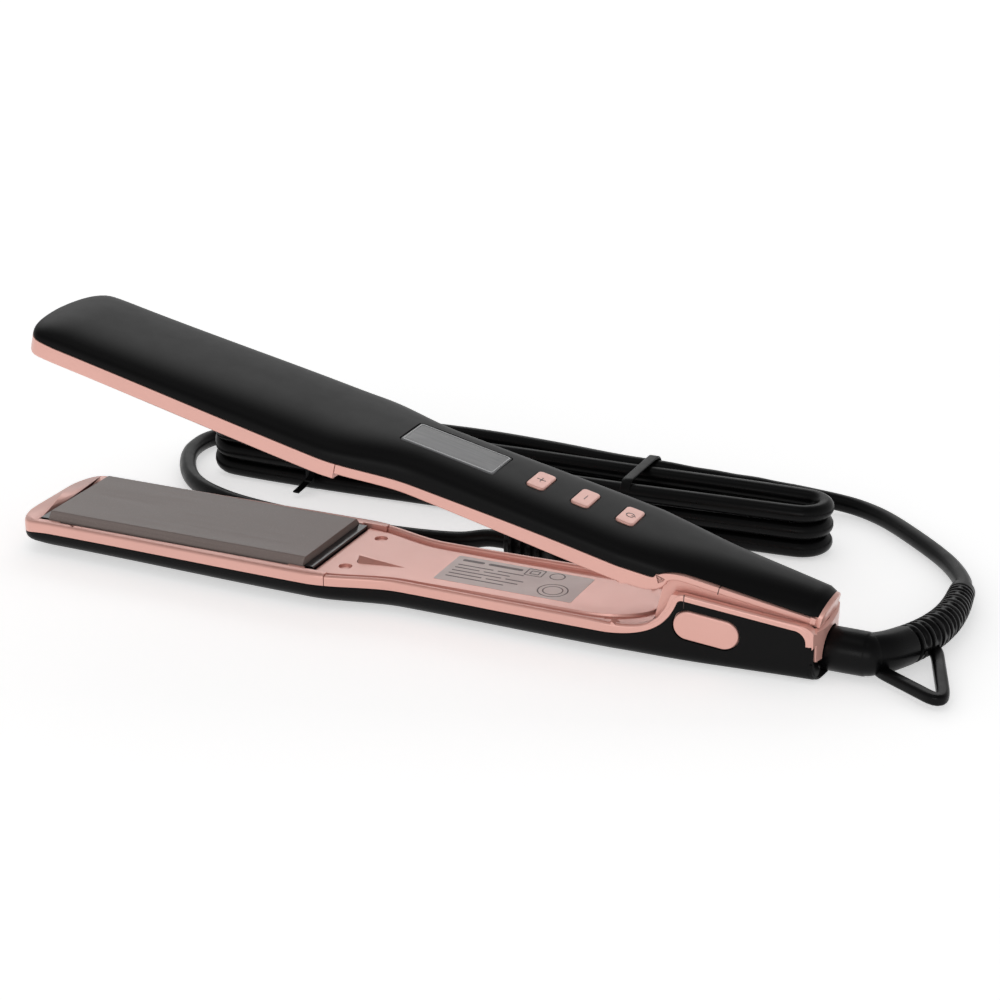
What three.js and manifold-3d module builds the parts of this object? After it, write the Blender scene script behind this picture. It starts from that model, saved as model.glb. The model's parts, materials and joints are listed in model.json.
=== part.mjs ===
// A corded hair straightener (flat iron) lying open on a table.
//
// Units are millimetres. X runs along the arms towards the cord, Y across them and Z up.
// The origin is on the table, in the flat underside of the lower arm, below the hinge pin.
// Both arms are drawn closed; the upper arm is then swung open about the hinge pin.

import * as THREE from "three";
import { mergeVertices } from "three/addons/utils/BufferGeometryUtils.js";
import Module from "manifold-3d";

const wasm = await Module();
wasm.setup();

// ---------------------------------------------------------------- driving dimensions

const NOSE_X = -254; // front end of both arms
const REAR_X = 36; // rear end of the lower arm
const UPPER_REAR_X = 32.2; // the upper arm is shorter, so its end clears the cord when open
const CONTACT_Z = 15; // height where the two heating plates meet when closed
const HINGE_Z = 13.8; // height of the hinge pin
const OPEN_ANGLE = THREE.MathUtils.degToRad(13); // opening of the resting iron

const PLATE_FRONT_X = -241;
const PLATE_LENGTH = 100;
const PLATE_HALF_WIDTH = 18.5;
const SEAM_X = -131; // joint between plate carrier and handle cover

const FRONT_HALF_WIDTH = 25;
const HANDLE_HALF_WIDTH = 19;
const TAIL_TAPER_X = -32; // from here both arms narrow towards the rear
const LOWER_TAIL_TAPER = 0.1; // loss of half width per millimetre
const UPPER_TAIL_TAPER = 0.15;

const LOWER_PARTING = 6.5; // distance of the lower shell edge from the contact plane
const UPPER_PARTING = 8.2; // the same for the upper shell, at the plates
const UPPER_PARTING_HANDLE = 10; // and at the buttons
const RIM = 4.6; // distance of the rim from the contact plane
const WALL = 1.8; // shell wall
const GAP = 0.3; // clearance between neighbouring pieces

const TAIL_START_X = -34; // where the lower rim starts to climb
const TAIL_TOP_X = -9.6; // where it reaches the top
const TAIL_RIM_Z = 22.8; // shell edge of the lower tail at its front
const TAIL_RIM_DROP = 5; // how far that edge falls towards the rear
const PIN_RADIUS = 2;

const CORD_RADIUS = 3.1;
const CORD_Z = 3.7; // cord centre height on the table

// ---------------------------------------------------------------- materials

function finish(color, roughness, metalness, extra = {}) {
  return new THREE.MeshStandardMaterial({ color, roughness, metalness, ...extra });
}

const softBlack = finish(0x1d1d1f, 0.55, 0);
const glossBlack = finish(0x101012, 0.25, 0);
const roseGold = finish(0xe0a596, 0.35, 0.7);
const platePaint = finish(0x7f756f, 0.3, 0.6);
const aluminium = finish(0xb9bcc0, 0.4, 0.9);
const steel = finish(0xc5c7ca, 0.3, 1);
const brass = finish(0xc9a24a, 0.35, 1);
const cordBlack = finish(0x151516, 0.45, 0);
const siliconePad = finish(0xb8442e, 0.7, 0);
const boardGreen = finish(0x1f6b3c, 0.5, 0);
const labelPaper = finish(0xd8d4d2, 0.6, 0);
const clearLens = finish(0xcfd6da, 0.1, 0, { transparent: true, opacity: 0.5 });
const displayGlass = finish(0x9aa3a0, 0.2, 0.1);
const wireRed = finish(0x8c2b24, 0.5, 0);
const fuseWhite = finish(0xe8e6df, 0.5, 0);
const bushWhite = finish(0xe6e3da, 0.5, 0);

// ---------------------------------------------------------------- small maths helpers

function smoothstep(x, start, end) {
  const t = THREE.MathUtils.clamp((x - start) / (end - start), 0, 1);
  return t * t * (3 - 2 * t);
}

function mix(a, b, t) {
  return a + (b - a) * t;
}

function superellipsePoint(angle, a, b, power) {
  const c = Math.cos(angle);
  const s = Math.sin(angle);
  const y = a * Math.sign(c) * Math.abs(c) ** (2 / power);
  const z = b * Math.abs(s) ** (2 / power);
  return [y, z];
}

// ---------------------------------------------------------------- solid helpers

function toSolid(geometry) {
  const bare = geometry.clone();
  bare.deleteAttribute("normal");
  bare.deleteAttribute("uv");
  const merged = mergeVertices(bare, 1e-4);
  const vertProperties = Float32Array.from(merged.attributes.position.array);
  const triVerts = Uint32Array.from(merged.index.array);
  return new wasm.Manifold(new wasm.Mesh({ numProp: 3, vertProperties, triVerts }));
}

function toGeometry(solid) {
  const mesh = solid.getMesh();
  const geometry = new THREE.BufferGeometry();
  geometry.setAttribute("position", new THREE.BufferAttribute(mesh.vertProperties.slice(), 3));
  geometry.setIndex(new THREE.BufferAttribute(mesh.triVerts.slice(), 1));
  geometry.computeVertexNormals();
  return geometry;
}

// Booleans can leave specks behind; the piece itself is the body with the largest volume.
function mainBody(solid) {
  return solid.decompose().reduce((a, b) => (b.volume() > a.volume() ? b : a));
}

function part(name, shape, material) {
  const geometry = shape instanceof THREE.BufferGeometry ? shape : toGeometry(shape);
  const mesh = new THREE.Mesh(geometry, material);
  mesh.name = name;
  return mesh;
}

// A closed skin through rings of equal length, with a flat fan over each end.
function loftGeometry(rings) {
  const count = rings[0].length;
  const positions = [];
  const index = [];
  for (const ring of rings) {
    for (const p of ring) {
      positions.push(p.x, p.y, p.z);
    }
  }
  for (let r = 0; r + 1 < rings.length; r++) {
    for (let i = 0; i < count; i++) {
      const a = r * count + i;
      const b = r * count + ((i + 1) % count);
      index.push(a, b, a + count, b, b + count, a + count);
    }
  }
  for (const [r, flip] of [[0, true], [rings.length - 1, false]]) {
    const centre = new THREE.Vector3();
    for (const p of rings[r]) {
      centre.add(p);
    }
    centre.divideScalar(count);
    const hub = positions.length / 3;
    positions.push(centre.x, centre.y, centre.z);
    for (let i = 0; i < count; i++) {
      const a = r * count + i;
      const b = r * count + ((i + 1) % count);
      index.push(...(flip ? [hub, b, a] : [hub, a, b]));
    }
  }
  const geometry = new THREE.BufferGeometry();
  geometry.setAttribute("position", new THREE.Float32BufferAttribute(positions, 3));
  geometry.setIndex(index);
  return geometry;
}

function box(x0, x1, y0, y1, z0, z1) {
  const geometry = new THREE.BoxGeometry(x1 - x0, y1 - y0, z1 - z0);
  geometry.translate((x0 + x1) / 2, (y0 + y1) / 2, (z0 + z1) / 2);
  return toSolid(geometry);
}

// A straight round bar between two values along one axis.
function bar(axis, from, to, radius, centre, sides = 14, endRadius = radius) {
  const geometry = new THREE.CylinderGeometry(endRadius, radius, to - from, sides);
  geometry.translate(0, (from + to) / 2, 0);
  if (axis === "x") {
    geometry.rotateZ(-Math.PI / 2);
  }
  if (axis === "z") {
    geometry.rotateX(Math.PI / 2);
  }
  geometry.translate(...centre);
  return toSolid(geometry);
}

// A side view in X and Z, swept across the arm between two values of Y.
function sideSlab(shape, y0, y1) {
  const geometry = new THREE.ExtrudeGeometry(shape, { depth: y1 - y0, bevelEnabled: false, curveSegments: 6 });
  geometry.rotateX(Math.PI / 2);
  geometry.translate(0, y1, 0);
  return toSolid(geometry);
}

// A plan view in X and Y, swept up between two values of Z.
function planSlab(shape, z0, z1) {
  const geometry = new THREE.ExtrudeGeometry(shape, { depth: z1 - z0, bevelEnabled: false, curveSegments: 4 });
  geometry.translate(0, 0, z0);
  return toSolid(geometry);
}

function roundedRectangle(cx, cy, halfX, halfY, radius) {
  const shape = new THREE.Shape();
  shape.absarc(cx + halfX - radius, cy + halfY - radius, radius, 0, Math.PI / 2);
  shape.absarc(cx - halfX + radius, cy + halfY - radius, radius, Math.PI / 2, Math.PI);
  shape.absarc(cx - halfX + radius, cy - halfY + radius, radius, Math.PI, 1.5 * Math.PI);
  shape.absarc(cx + halfX - radius, cy - halfY + radius, radius, 1.5 * Math.PI, 2 * Math.PI);
  return shape;
}

// A flat or round strand along a path: the section is given as [across, up] points.
function strandGeometry(path, section) {
  const rings = [];
  let across = null;
  for (let i = 0; i < path.length; i++) {
    const before = path[Math.max(i - 1, 0)];
    const after = path[Math.min(i + 1, path.length - 1)];
    const tangent = after.clone().sub(before).normalize();
    if (across === null) {
      across = new THREE.Vector3(0, 0, 1).cross(tangent);
      if (across.length() < 0.2) {
        across.set(0, 1, 0);
      }
    }
    across.addScaledVector(tangent, -across.dot(tangent)).normalize();
    const up = tangent.clone().cross(across);
    rings.push(section.map(([u, v]) => path[i].clone().addScaledVector(across, u).addScaledVector(up, v)));
  }
  return loftGeometry(rings);
}

function circleSection(radius, sides) {
  const section = [];
  for (let i = 0; i < sides; i++) {
    const angle = (2 * Math.PI * i) / sides;
    section.push([radius * Math.cos(angle), radius * Math.sin(angle)]);
  }
  return section;
}

function curvePoints(points, divisions) {
  const curve = new THREE.CatmullRomCurve3(points.map((p) => new THREE.Vector3(...p)), false, "centripetal");
  return curve.getSpacedPoints(divisions);
}

// ---------------------------------------------------------------- arm outline

// How far a station lies inside the rounded nose, from 0 (straight part) to 1 (tip).
function noseFraction(x, length = 16) {
  return THREE.MathUtils.clamp((NOSE_X + length - x) / length, 0, 1);
}

function halfWidth(x, isUpper) {
  const front = mix(FRONT_HALF_WIDTH - 0.8, FRONT_HALF_WIDTH + 0.6, smoothstep(x, -240, -140));
  const handle = mix(HANDLE_HALF_WIDTH, HANDLE_HALF_WIDTH + 1.2, smoothstep(x, -105, -35));
  const necked = mix(front, handle, smoothstep(x, -138, -106));
  const taper = isUpper ? UPPER_TAIL_TAPER : LOWER_TAIL_TAPER;
  const full = necked - taper * Math.max(x - TAIL_TAPER_X, 0);
  const round = (1 - Math.min(noseFraction(x, 8.5), 0.99) ** 2.4) ** (1 / 2.4);
  return full * round;
}

// Distance of the crown from the contact plane.
function crownDistance(x, isUpper) {
  const front = isUpper ? mix(13.9, 15.6, smoothstep(x, -240, -140)) : mix(14.3, 15.2, smoothstep(x, -240, -140));
  const handle = isUpper ? 17.5 : 15.3;
  const tail = isUpper ? 19.4 : 15.3;
  const straight = mix(mix(front, handle, smoothstep(x, -150, -105)), tail, smoothstep(x, -40, 34));
  const edge = edgeDistance(x, isUpper);
  return edge + (straight - edge) * Math.sqrt(1 - 0.93 * noseFraction(x) ** 2);
}

// The shell edge and the rim bend away from the contact plane towards the tip.
function noseBend(x) {
  return 1.8 * noseFraction(x) ** 2;
}

function edgeDistance(x, isUpper) {
  const upper = mix(UPPER_PARTING, UPPER_PARTING_HANDLE, smoothstep(x, -120, -45));
  return (isUpper ? upper : LOWER_PARTING) + noseBend(x);
}

function crownPower(x, isUpper) {
  const handle = mix(2.9, 3.1, smoothstep(x, -150, -100));
  return mix(handle, isUpper ? 2.2 : 4, smoothstep(x, -34, 0));
}

const END_BEVEL = 1.2; // the rear edge of each shell is broken by this much

function armStations(isUpper) {
  const rear = isUpper ? UPPER_REAR_X : REAR_X;
  const nose = [0, 0.4, 1.2, 2.6, 5, 8.5, 16].map((d) => NOSE_X + d);
  const front = [-200, -142, -134, -127, -120, -113, -106];
  const tail = [-80, -55, -32, -24, -16, -9, 0, 16];
  return [...nose, ...front, ...tail, rear - END_BEVEL, rear];
}

// One closed cross-section. Distances are measured outwards from the contact plane.
function armSection(x, { isUpper, inset = 0, reach = null }) {
  const endInset = x === (isUpper ? UPPER_REAR_X : REAR_X) ? 0.7 : 0;
  const half = halfWidth(x, isUpper) - inset - endInset;
  const crown = crownDistance(x, isUpper) - inset - endInset;
  const edge = edgeDistance(x, isUpper);
  const rim = reach ?? RIM + noseBend(x) + inset;
  const side = isUpper ? 1 : -1;
  const outline = [];
  const steps = inset > 0 ? 6 : 10;
  for (let i = 0; i <= steps; i++) {
    const [y, d] = superellipsePoint((Math.PI * i) / steps, half, crown - edge, crownPower(x, isUpper));
    outline.push([y, edge + d]);
  }
  const chamfer = Math.min(1.2, half * 0.2);
  outline.push([-half, rim + chamfer], [-half + chamfer, rim], [half - chamfer, rim], [half, rim + chamfer]);
  const ring = outline.map(([y, d]) => new THREE.Vector3(x, y, CONTACT_Z + side * d));
  return isUpper ? ring : ring.reverse();
}

function armLoft(stations, options) {
  return toSolid(loftGeometry(stations.map((x) => armSection(x, options(x)))));
}

// ---------------------------------------------------------------- side views of the two arms

// Upper boundary of the lower shell; "lift" moves it towards the rim.
function lowerEdgePath(lift) {
  const shape = new THREE.Shape();
  const z = CONTACT_Z - LOWER_PARTING + lift;
  const rimZ = TAIL_RIM_Z + lift;
  shape.moveTo(NOSE_X - 5, z - noseBend(NOSE_X) - 1);
  shape.quadraticCurveTo(NOSE_X + 8, z, NOSE_X + 18, z);
  shape.lineTo(TAIL_START_X, z);
  shape.bezierCurveTo(-20 - 0.3 * lift, z, -13 - 0.85 * lift, z + 4 - 0.4 * lift, TAIL_TOP_X - lift, rimZ - 0.4);
  shape.lineTo(TAIL_TOP_X + 0.5 - lift, rimZ);
  const bendX = REAR_X - 8.5 + lift;
  shape.lineTo(bendX, rimZ - TAIL_RIM_DROP);
  shape.absarc(bendX, rimZ - TAIL_RIM_DROP - 6, 6, Math.PI / 2, 0, true);
  return shape;
}

function lowerShellZone() {
  const shape = lowerEdgePath(-GAP / 2);
  const dropZ = TAIL_RIM_Z - TAIL_RIM_DROP - 7;
  shape.lineTo(REAR_X + 5, dropZ);
  shape.lineTo(REAR_X + 5, 0);
  shape.lineTo(NOSE_X - 5, 0);
  return sideSlab(shape, -40, 40);
}

function lowerCoverZone() {
  const top = lowerEdgePath(1.8).getPoints(6);
  const bottom = lowerEdgePath(GAP / 2).getPoints(6).reverse();
  const straightTop = top.map((p) => (p.x <= TAIL_START_X ? new THREE.Vector2(p.x, CONTACT_Z) : p));
  return sideSlab(new THREE.Shape([...straightTop, ...bottom]), -40, 40);
}

// Lower boundary of the upper shell, with the arch over the hinge.
const ARCH_START_X = -20;
const ARCH_LENGTH = 10;
const ARCH_TOP_Z = 28.9;
const ARCH_REAR_Z = 28.5;

function upperEdgePath(lift) {
  const shape = new THREE.Shape();
  const z = CONTACT_Z + UPPER_PARTING + lift;
  const handleZ = CONTACT_Z + UPPER_PARTING_HANDLE + lift;
  const archX = ARCH_START_X + ARCH_LENGTH;
  shape.moveTo(NOSE_X - 5, z + noseBend(NOSE_X) + 1);
  shape.quadraticCurveTo(NOSE_X + 8, z, NOSE_X + 18, z);
  shape.lineTo(-120, z);
  shape.bezierCurveTo(-95, z, -70, handleZ, -45, handleZ);
  shape.lineTo(ARCH_START_X - lift, handleZ);
  const rise = ARCH_TOP_Z - (CONTACT_Z + UPPER_PARTING_HANDLE);
  shape.absellipse(archX, handleZ, ARCH_LENGTH + lift, rise, Math.PI, Math.PI / 2, true);
  shape.lineTo(REAR_X + 5, ARCH_REAR_Z + lift);
  return shape;
}

// Everything above the edge of the upper shell.
function upperShellZone(lift) {
  const shape = upperEdgePath(lift);
  shape.lineTo(REAR_X + 5, 60);
  shape.lineTo(NOSE_X - 5, 60);
  return sideSlab(shape, -40, 40);
}

function upperCoverZone() {
  const top = upperEdgePath(-GAP / 2).getPoints(6);
  const bottom = upperEdgePath(-2).getPoints(6).reverse();
  const straightBottom = bottom.map((p) => (p.x <= ARCH_START_X ? new THREE.Vector2(p.x, CONTACT_Z) : p));
  return sideSlab(new THREE.Shape([...top, ...straightBottom]), -40, 40);
}

// ---------------------------------------------------------------- shells and covers

const TAIL_REACH = -12; // the uncut tail reaches this far past the contact plane
const TAIL_REACH_X = -28; // behind this station the tail is drawn tall, then trimmed to its side view

function fullArm(isUpper) {
  return armLoft(armStations(isUpper), (x) => ({
    isUpper,
    reach: x > TAIL_REACH_X ? (isUpper ? 0 : TAIL_REACH) : null,
  })).intersect(planSlab(rearOutline(isUpper), -40, 80));
}

// Plan view that gives the rear end of an arm its shallow curve.
function rearOutline(isUpper, inset = 0) {
  const rear = (isUpper ? UPPER_REAR_X : REAR_X) - inset;
  const corner = isUpper ? 11 : 14.5;
  const setBack = isUpper ? 1.2 : 2.2;
  const shape = new THREE.Shape();
  shape.moveTo(NOSE_X - 10, -60);
  shape.lineTo(rear - setBack - 0.3 * (60 - corner), -60);
  shape.lineTo(rear - setBack, -corner);
  shape.quadraticCurveTo(rear + setBack, 0, rear - setBack, corner);
  shape.lineTo(rear - setBack - 0.3 * (60 - corner), 60);
  shape.lineTo(NOSE_X - 10, 60);
  return shape;
}

function armCavity(isUpper) {
  const stations = [-252, -250.6, -248.5, -245, -238, -200, -142, -134, -127, -120, -113, -106, -80, -55, -32, -24,
    -16, -9, 0, (isUpper ? UPPER_REAR_X : REAR_X) - WALL - 2];
  return armLoft(stations, () => ({ isUpper, inset: WALL, reach: isUpper ? -3 : TAIL_REACH - 3 }));
}

// Two low ribs inside a shell carry the cushions of the floating plate.
function cushionRibs(isUpper) {
  const rib = (x) => box(x - 3, x + 3, -9, 9, 1, CUSHION_BASE_Z - GAP);
  return mirrorToUpper(rib(PLATE_MID_X - CUSHION_SPREAD).add(rib(PLATE_MID_X + CUSHION_SPREAD)), isUpper);
}

// The hollow under the rim of an arm: closed by the cover towards the contact plane.
function coverHollow(isUpper, fromX, toX) {
  const stations = [-250, -247, -242, -236, -142, -134, -127, -120, -113, -106, -80, -55, -32, -26];
  const inside = stations.filter((x) => x > fromX && x < toX);
  return armLoft([fromX, ...inside, toX], () => ({ isUpper, inset: WALL }));
}

const lowerFull = fullArm(false);
const upperFull = fullArm(true);

const CAP_HALF_LENGTH = 10.5;
const CAP_HALF_HEIGHT = 4.8;
const CAP_TILT = 8; // degrees by which the long axis of the cap falls to the rear

// An oval slab across the tail, tilted like the rim above it.
function capSlab(clearance, y0, y1) {
  const half = CAP_HALF_LENGTH + clearance;
  const radius = CAP_HALF_HEIGHT + clearance;
  const slab = sideSlab(roundedRectangle(0, 0, half, radius, radius - 0.01), y0, y1);
  return slab.rotate([0, CAP_TILT, 0]).translate([0, 0, HINGE_Z]);
}

const STUB_RADIUS = 7.2; // of the cord guard where it enters the tail
const NECK_RADIUS = 3.4; // of the part that turns in the swivel socket
const STUB_Z = 7.6;
const STUB_FRONT_X = REAR_X - 3;

// The space inside a shell wall of the given thickness, drawn right through the tail of the lower arm.
function tailInside(wall, fromX, toX) {
  const stations = [fromX, ...[-24, -16, -9, 0, 16].filter((x) => x > fromX && x < toX), toX];
  return armLoft(stations, () => ({ isUpper: false, inset: wall, reach: TAIL_REACH }));
}

function lowerShell() {
  let shell = lowerFull.intersect(lowerShellZone()).subtract(armCavity(false));
  shell = shell.subtract(capSlab(GAP, -30, 30));
  const rearOpening = tailInside(WALL, REAR_X - 8, REAR_X + 2).intersect(box(0, 60, -30, 30, REAR_WALL_Z, 60));
  const stubHole = bar("x", STUB_FRONT_X - 0.8, REAR_X + 5, STUB_RADIUS + 0.6, [0, 0, STUB_Z], 28);
  const notch = box(STUB_FRONT_X - 0.8, REAR_X + 5, -5.6, 5.6, -1, STUB_Z);
  return shell.subtract(rearOpening).subtract(stubHole).subtract(notch).add(cushionRibs(false));
}

const PLATE_MID_X = PLATE_FRONT_X + PLATE_LENGTH / 2;
const PLATE_REAR_X = PLATE_FRONT_X + PLATE_LENGTH;
const PLATE_BASE_HALF_WIDTH = PLATE_HALF_WIDTH + 2;
const END_BAR_LENGTH = 3.2;

// The rose-coloured frame around a heating plate, drawn for either arm.
function plateCarrier(full, zone, isUpper) {
  const side = isUpper ? 1 : -1;
  const frame = full.intersect(zone).intersect(box(NOSE_X - 2, SEAM_X - GAP / 2, -40, 40, -10, 60));
  const hollow = coverHollow(isUpper, PLATE_FRONT_X - 3, SEAM_X + 2);
  const openX0 = PLATE_FRONT_X - END_BAR_LENGTH - 2 * GAP;
  const openX1 = PLATE_REAR_X + END_BAR_LENGTH + 2 * GAP;
  const openHalf = PLATE_BASE_HALF_WIDTH + GAP;
  const opening = box(openX0, openX1, -openHalf, openHalf, -10, 60);
  const notchZ = CONTACT_Z + side * (RIM + 0.8);
  const notch = box(PLATE_FRONT_X + 4, PLATE_REAR_X - 6, -openHalf - 0.9, openHalf + 0.9,
    Math.min(notchZ, CONTACT_Z), Math.max(notchZ, CONTACT_Z));
  return mainBody(frame.subtract(hollow).subtract(opening).subtract(notch));
}

const POCKET_FRONT_X = -21;
const LINING_WALL = 1;
const LINING_FLOOR_Z = WALL + GAP;
const REAR_WALL_Z = 6.8; // the rear wall of the lining shows above this height
const SCREW_X = SEAM_X + 5;
const SCREW_Y = 13;

function screwHoles(cover, isUpper) {
  const side = isUpper ? 1 : -1;
  const rimZ = CONTACT_Z + side * RIM;
  let drilled = cover;
  for (const y of [-SCREW_Y, SCREW_Y]) {
    drilled = drilled.subtract(bar("z", rimZ - 4, rimZ + 4, 1.6, [SCREW_X, y, 0], 12));
    const sink = side > 0 ? [rimZ - 2, rimZ + 0.9] : [rimZ - 0.9, rimZ + 2];
    drilled = drilled.subtract(bar("z", sink[0], sink[1], 2.6, [SCREW_X, y, 0], 14));
  }
  return drilled;
}

// A long wedge-shaped rib that points from the plate towards the handle.
function pointerRib(isUpper) {
  const shape = new THREE.Shape();
  shape.moveTo(SEAM_X + 4, 3.4);
  shape.lineTo(SEAM_X + 22, 0);
  shape.lineTo(SEAM_X + 4, -3.4);
  const rimZ = CONTACT_Z + (isUpper ? RIM : -RIM);
  return planSlab(shape, rimZ - 0.7, rimZ + 0.7);
}

// Side view of the lining that fills the tail of the lower arm.
function liningSide() {
  const rimZ = TAIL_RIM_Z + 0.6;
  const rear = REAR_X + 1;
  const shape = new THREE.Shape();
  shape.moveTo(POCKET_FRONT_X - 1.2, LINING_FLOOR_Z);
  shape.lineTo(REAR_X - WALL - 2 - GAP, LINING_FLOOR_Z);
  shape.lineTo(REAR_X - WALL - 2 - GAP, REAR_WALL_Z + GAP);
  shape.lineTo(rear, REAR_WALL_Z + GAP);
  shape.lineTo(rear, rimZ - TAIL_RIM_DROP - 2);
  shape.lineTo(REAR_X - 4, rimZ - TAIL_RIM_DROP);
  shape.lineTo(TAIL_TOP_X + 1, rimZ);
  shape.lineTo(-13, CONTACT_Z + 1);
  shape.lineTo(POCKET_FRONT_X - 1.2, CONTACT_Z - RIM - 0.4);
  return shape;
}

function lowerCover() {
  const inside = tailInside(WALL + GAP, POCKET_FRONT_X - 1.2, REAR_X + 1).intersect(lowerFull);
  const pocket = tailInside(WALL + GAP + LINING_WALL, POCKET_FRONT_X, REAR_X + 1)
    .intersect(box(-40, 60, -30, 30, LINING_FLOOR_Z + 1, 60))
    .intersect(planSlab(rearOutline(false, 1.4), -10, 60));
  const frontOpening = tailInside(WALL + GAP + LINING_WALL, TAIL_START_X - 1, POCKET_FRONT_X + 1)
    .intersect(box(-40, 60, -30, 30, CONTACT_Z - RIM - 0.1, 60));
  let cover = lowerFull.intersect(lowerCoverZone()).intersect(box(SEAM_X + GAP / 2, 60, -40, 40, -10, 60));
  cover = cover.subtract(coverHollow(false, SEAM_X - 2, POCKET_FRONT_X - 1.2));
  cover = cover.add(inside.intersect(sideSlab(liningSide(), -30, 30)));
  cover = cover.subtract(pocket).subtract(frontOpening);
  cover = cover.subtract(bar("y", -30, 30, PIN_RADIUS + GAP, [0, 0, HINGE_Z]));
  cover = cover.subtract(bar("x", 18, 45, STUB_RADIUS + 0.6, [0, 0, STUB_Z], 28));
  return mainBody(screwHoles(cover.add(pointerRib(false)), false));
}

const KNUCKLE_WALL = 1.4;
const KNUCKLE_RADIUS = 7;
const KNUCKLE_FRONT_X = -17.5;

// Half width of the knuckle: it keeps a running clearance inside the tapering lining.
function knuckleHalfWidth(x) {
  return halfWidth(Math.max(x, TAIL_TAPER_X), false) - WALL - GAP - LINING_WALL - 0.6;
}

function knuckleSide() {
  const shape = new THREE.Shape();
  shape.moveTo(KNUCKLE_FRONT_X, ARCH_TOP_Z);
  shape.lineTo(KNUCKLE_FRONT_X, 10.5);
  shape.lineTo(-9, 8.4);
  shape.absarc(0, HINGE_Z, KNUCKLE_RADIUS, 1.25 * Math.PI, 1.9 * Math.PI);
  shape.lineTo(18, 17);
  shape.lineTo(UPPER_REAR_X - 1, 21);
  shape.lineTo(UPPER_REAR_X - 3, ARCH_REAR_Z + 2);
  return shape;
}

function upperShell() {
  let shell = upperFull.intersect(upperShellZone(GAP / 2)).subtract(armCavity(true));
  shell = shell.subtract(planSlab(windowOutline(GAP), CONTACT_Z + 8, 60));
  for (const x of BUTTON_XS) {
    shell = shell.subtract(planSlab(buttonOutline(x, GAP), CONTACT_Z + 8, 60));
  }
  return shell.add(cushionRibs(true));
}

// Plan view of the knuckle, drawn in by "inset" on both flanks.
function knucklePlan(inset, frontX) {
  const rearX = UPPER_REAR_X + 6;
  const flank = (x) => Math.min(knuckleHalfWidth(x), halfWidth(Math.min(x, UPPER_REAR_X - 1), true) - 0.3) - inset;
  const xs = [frontX, 0, UPPER_REAR_X - 1, rearX];
  const outline = xs.map((x) => new THREE.Vector2(x, flank(x)));
  const mirrored = outline.map((p) => new THREE.Vector2(p.x, -p.y)).reverse();
  return new THREE.Shape([...outline, ...mirrored]);
}

function knuckleHollow() {
  return planSlab(knucklePlan(KNUCKLE_WALL, KNUCKLE_FRONT_X + 1.6), -10, 60);
}

// The two cheeks and the front wall that hang from the upper cover into the tail of the lower arm.
function knuckle() {
  const block = sideSlab(knuckleSide(), -30, 30).intersect(planSlab(knucklePlan(0, KNUCKLE_FRONT_X), -10, 60));
  return block.subtract(upperShellZone(-GAP / 2));
}

function upperCover() {
  let cover = upperFull.intersect(upperCoverZone()).intersect(box(SEAM_X + GAP / 2, 60, -40, 40, -10, 60));
  cover = cover.subtract(coverHollow(true, SEAM_X - 2, -22)).add(knuckle());
  cover = cover.subtract(knuckleHollow().intersect(planSlab(rearOutline(true, 1.6), -10, 60)));
  cover = cover.subtract(bar("y", -30, 30, PIN_RADIUS + 1.6, [0, 0, HINGE_Z]));
  for (const x of [-120, -48]) {
    for (const y of [-8, 8]) {
      cover = cover.add(bar("z", CONTACT_Z + RIM + 1, BOARD_TOP_Z - BOARD_THICKNESS - GAP, 1.8, [x, y, 0], 10));
    }
  }
  return mainBody(screwHoles(cover.add(pointerRib(true)), true));
}

// ---------------------------------------------------------------- heating plates

const PLATE_TOP = 0.15; // the plate stops this far short of the contact plane
const PLATE_THICKNESS = 3;

// Plates, bars and heaters are drawn for the lower arm and mirrored for the upper one.
function mirrorToUpper(solid, isUpper) {
  return isUpper ? solid.mirror([0, 0, 1]).translate([0, 0, 2 * CONTACT_Z]) : solid;
}

function heatingPlate() {
  const rings = [];
  const topZ = CONTACT_Z - PLATE_TOP;
  const chamfer = 1.6;
  const section = [
    [-PLATE_BASE_HALF_WIDTH, topZ - PLATE_THICKNESS],
    [PLATE_BASE_HALF_WIDTH, topZ - PLATE_THICKNESS],
    [PLATE_BASE_HALF_WIDTH, topZ - chamfer - 0.6],
    [PLATE_HALF_WIDTH + 0.2, topZ - 0.15],
    [PLATE_HALF_WIDTH - 0.3, topZ],
    [-PLATE_HALF_WIDTH + 0.3, topZ],
    [-PLATE_HALF_WIDTH - 0.2, topZ - 0.15],
    [-PLATE_BASE_HALF_WIDTH, topZ - chamfer - 0.6],
  ];
  for (const x of [PLATE_FRONT_X, PLATE_REAR_X]) {
    rings.push(section.map(([y, z]) => new THREE.Vector3(x, y, z)));
  }
  return toSolid(loftGeometry(rings));
}

function plateEndBar(x0, x1) {
  const z1 = CONTACT_Z - 2.6;
  const half = PLATE_BASE_HALF_WIDTH - 0.6;
  return box(x0, x1, -half, half, z1 - 4, z1);
}

const HEATER_TOP_Z = CONTACT_Z - PLATE_TOP - PLATE_THICKNESS;

function heater() {
  const base = box(PLATE_MID_X - 44, PLATE_MID_X + 44, -13, 13, HEATER_TOP_Z - 4 - GAP, HEATER_TOP_Z - GAP);
  const slot = box(PLATE_MID_X - 50, PLATE_MID_X + 50, -8, 8, HEATER_TOP_Z - 5, HEATER_TOP_Z - 2.6);
  return base.subtract(slot);
}

function heaterElement() {
  return box(PLATE_MID_X - 42, PLATE_MID_X + 42, -7.6, 7.6, HEATER_TOP_Z - 4.6, HEATER_TOP_Z - 2.6 - GAP);
}

const CUSHION_SPREAD = 30;
const CUSHION_BASE_Z = HEATER_TOP_Z - 7.6;

function cushion(x) {
  return box(x - 5, x + 5, -11, 11, CUSHION_BASE_Z, HEATER_TOP_Z - 4.6 - GAP);
}

// ---------------------------------------------------------------- display, buttons and electronics

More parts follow.
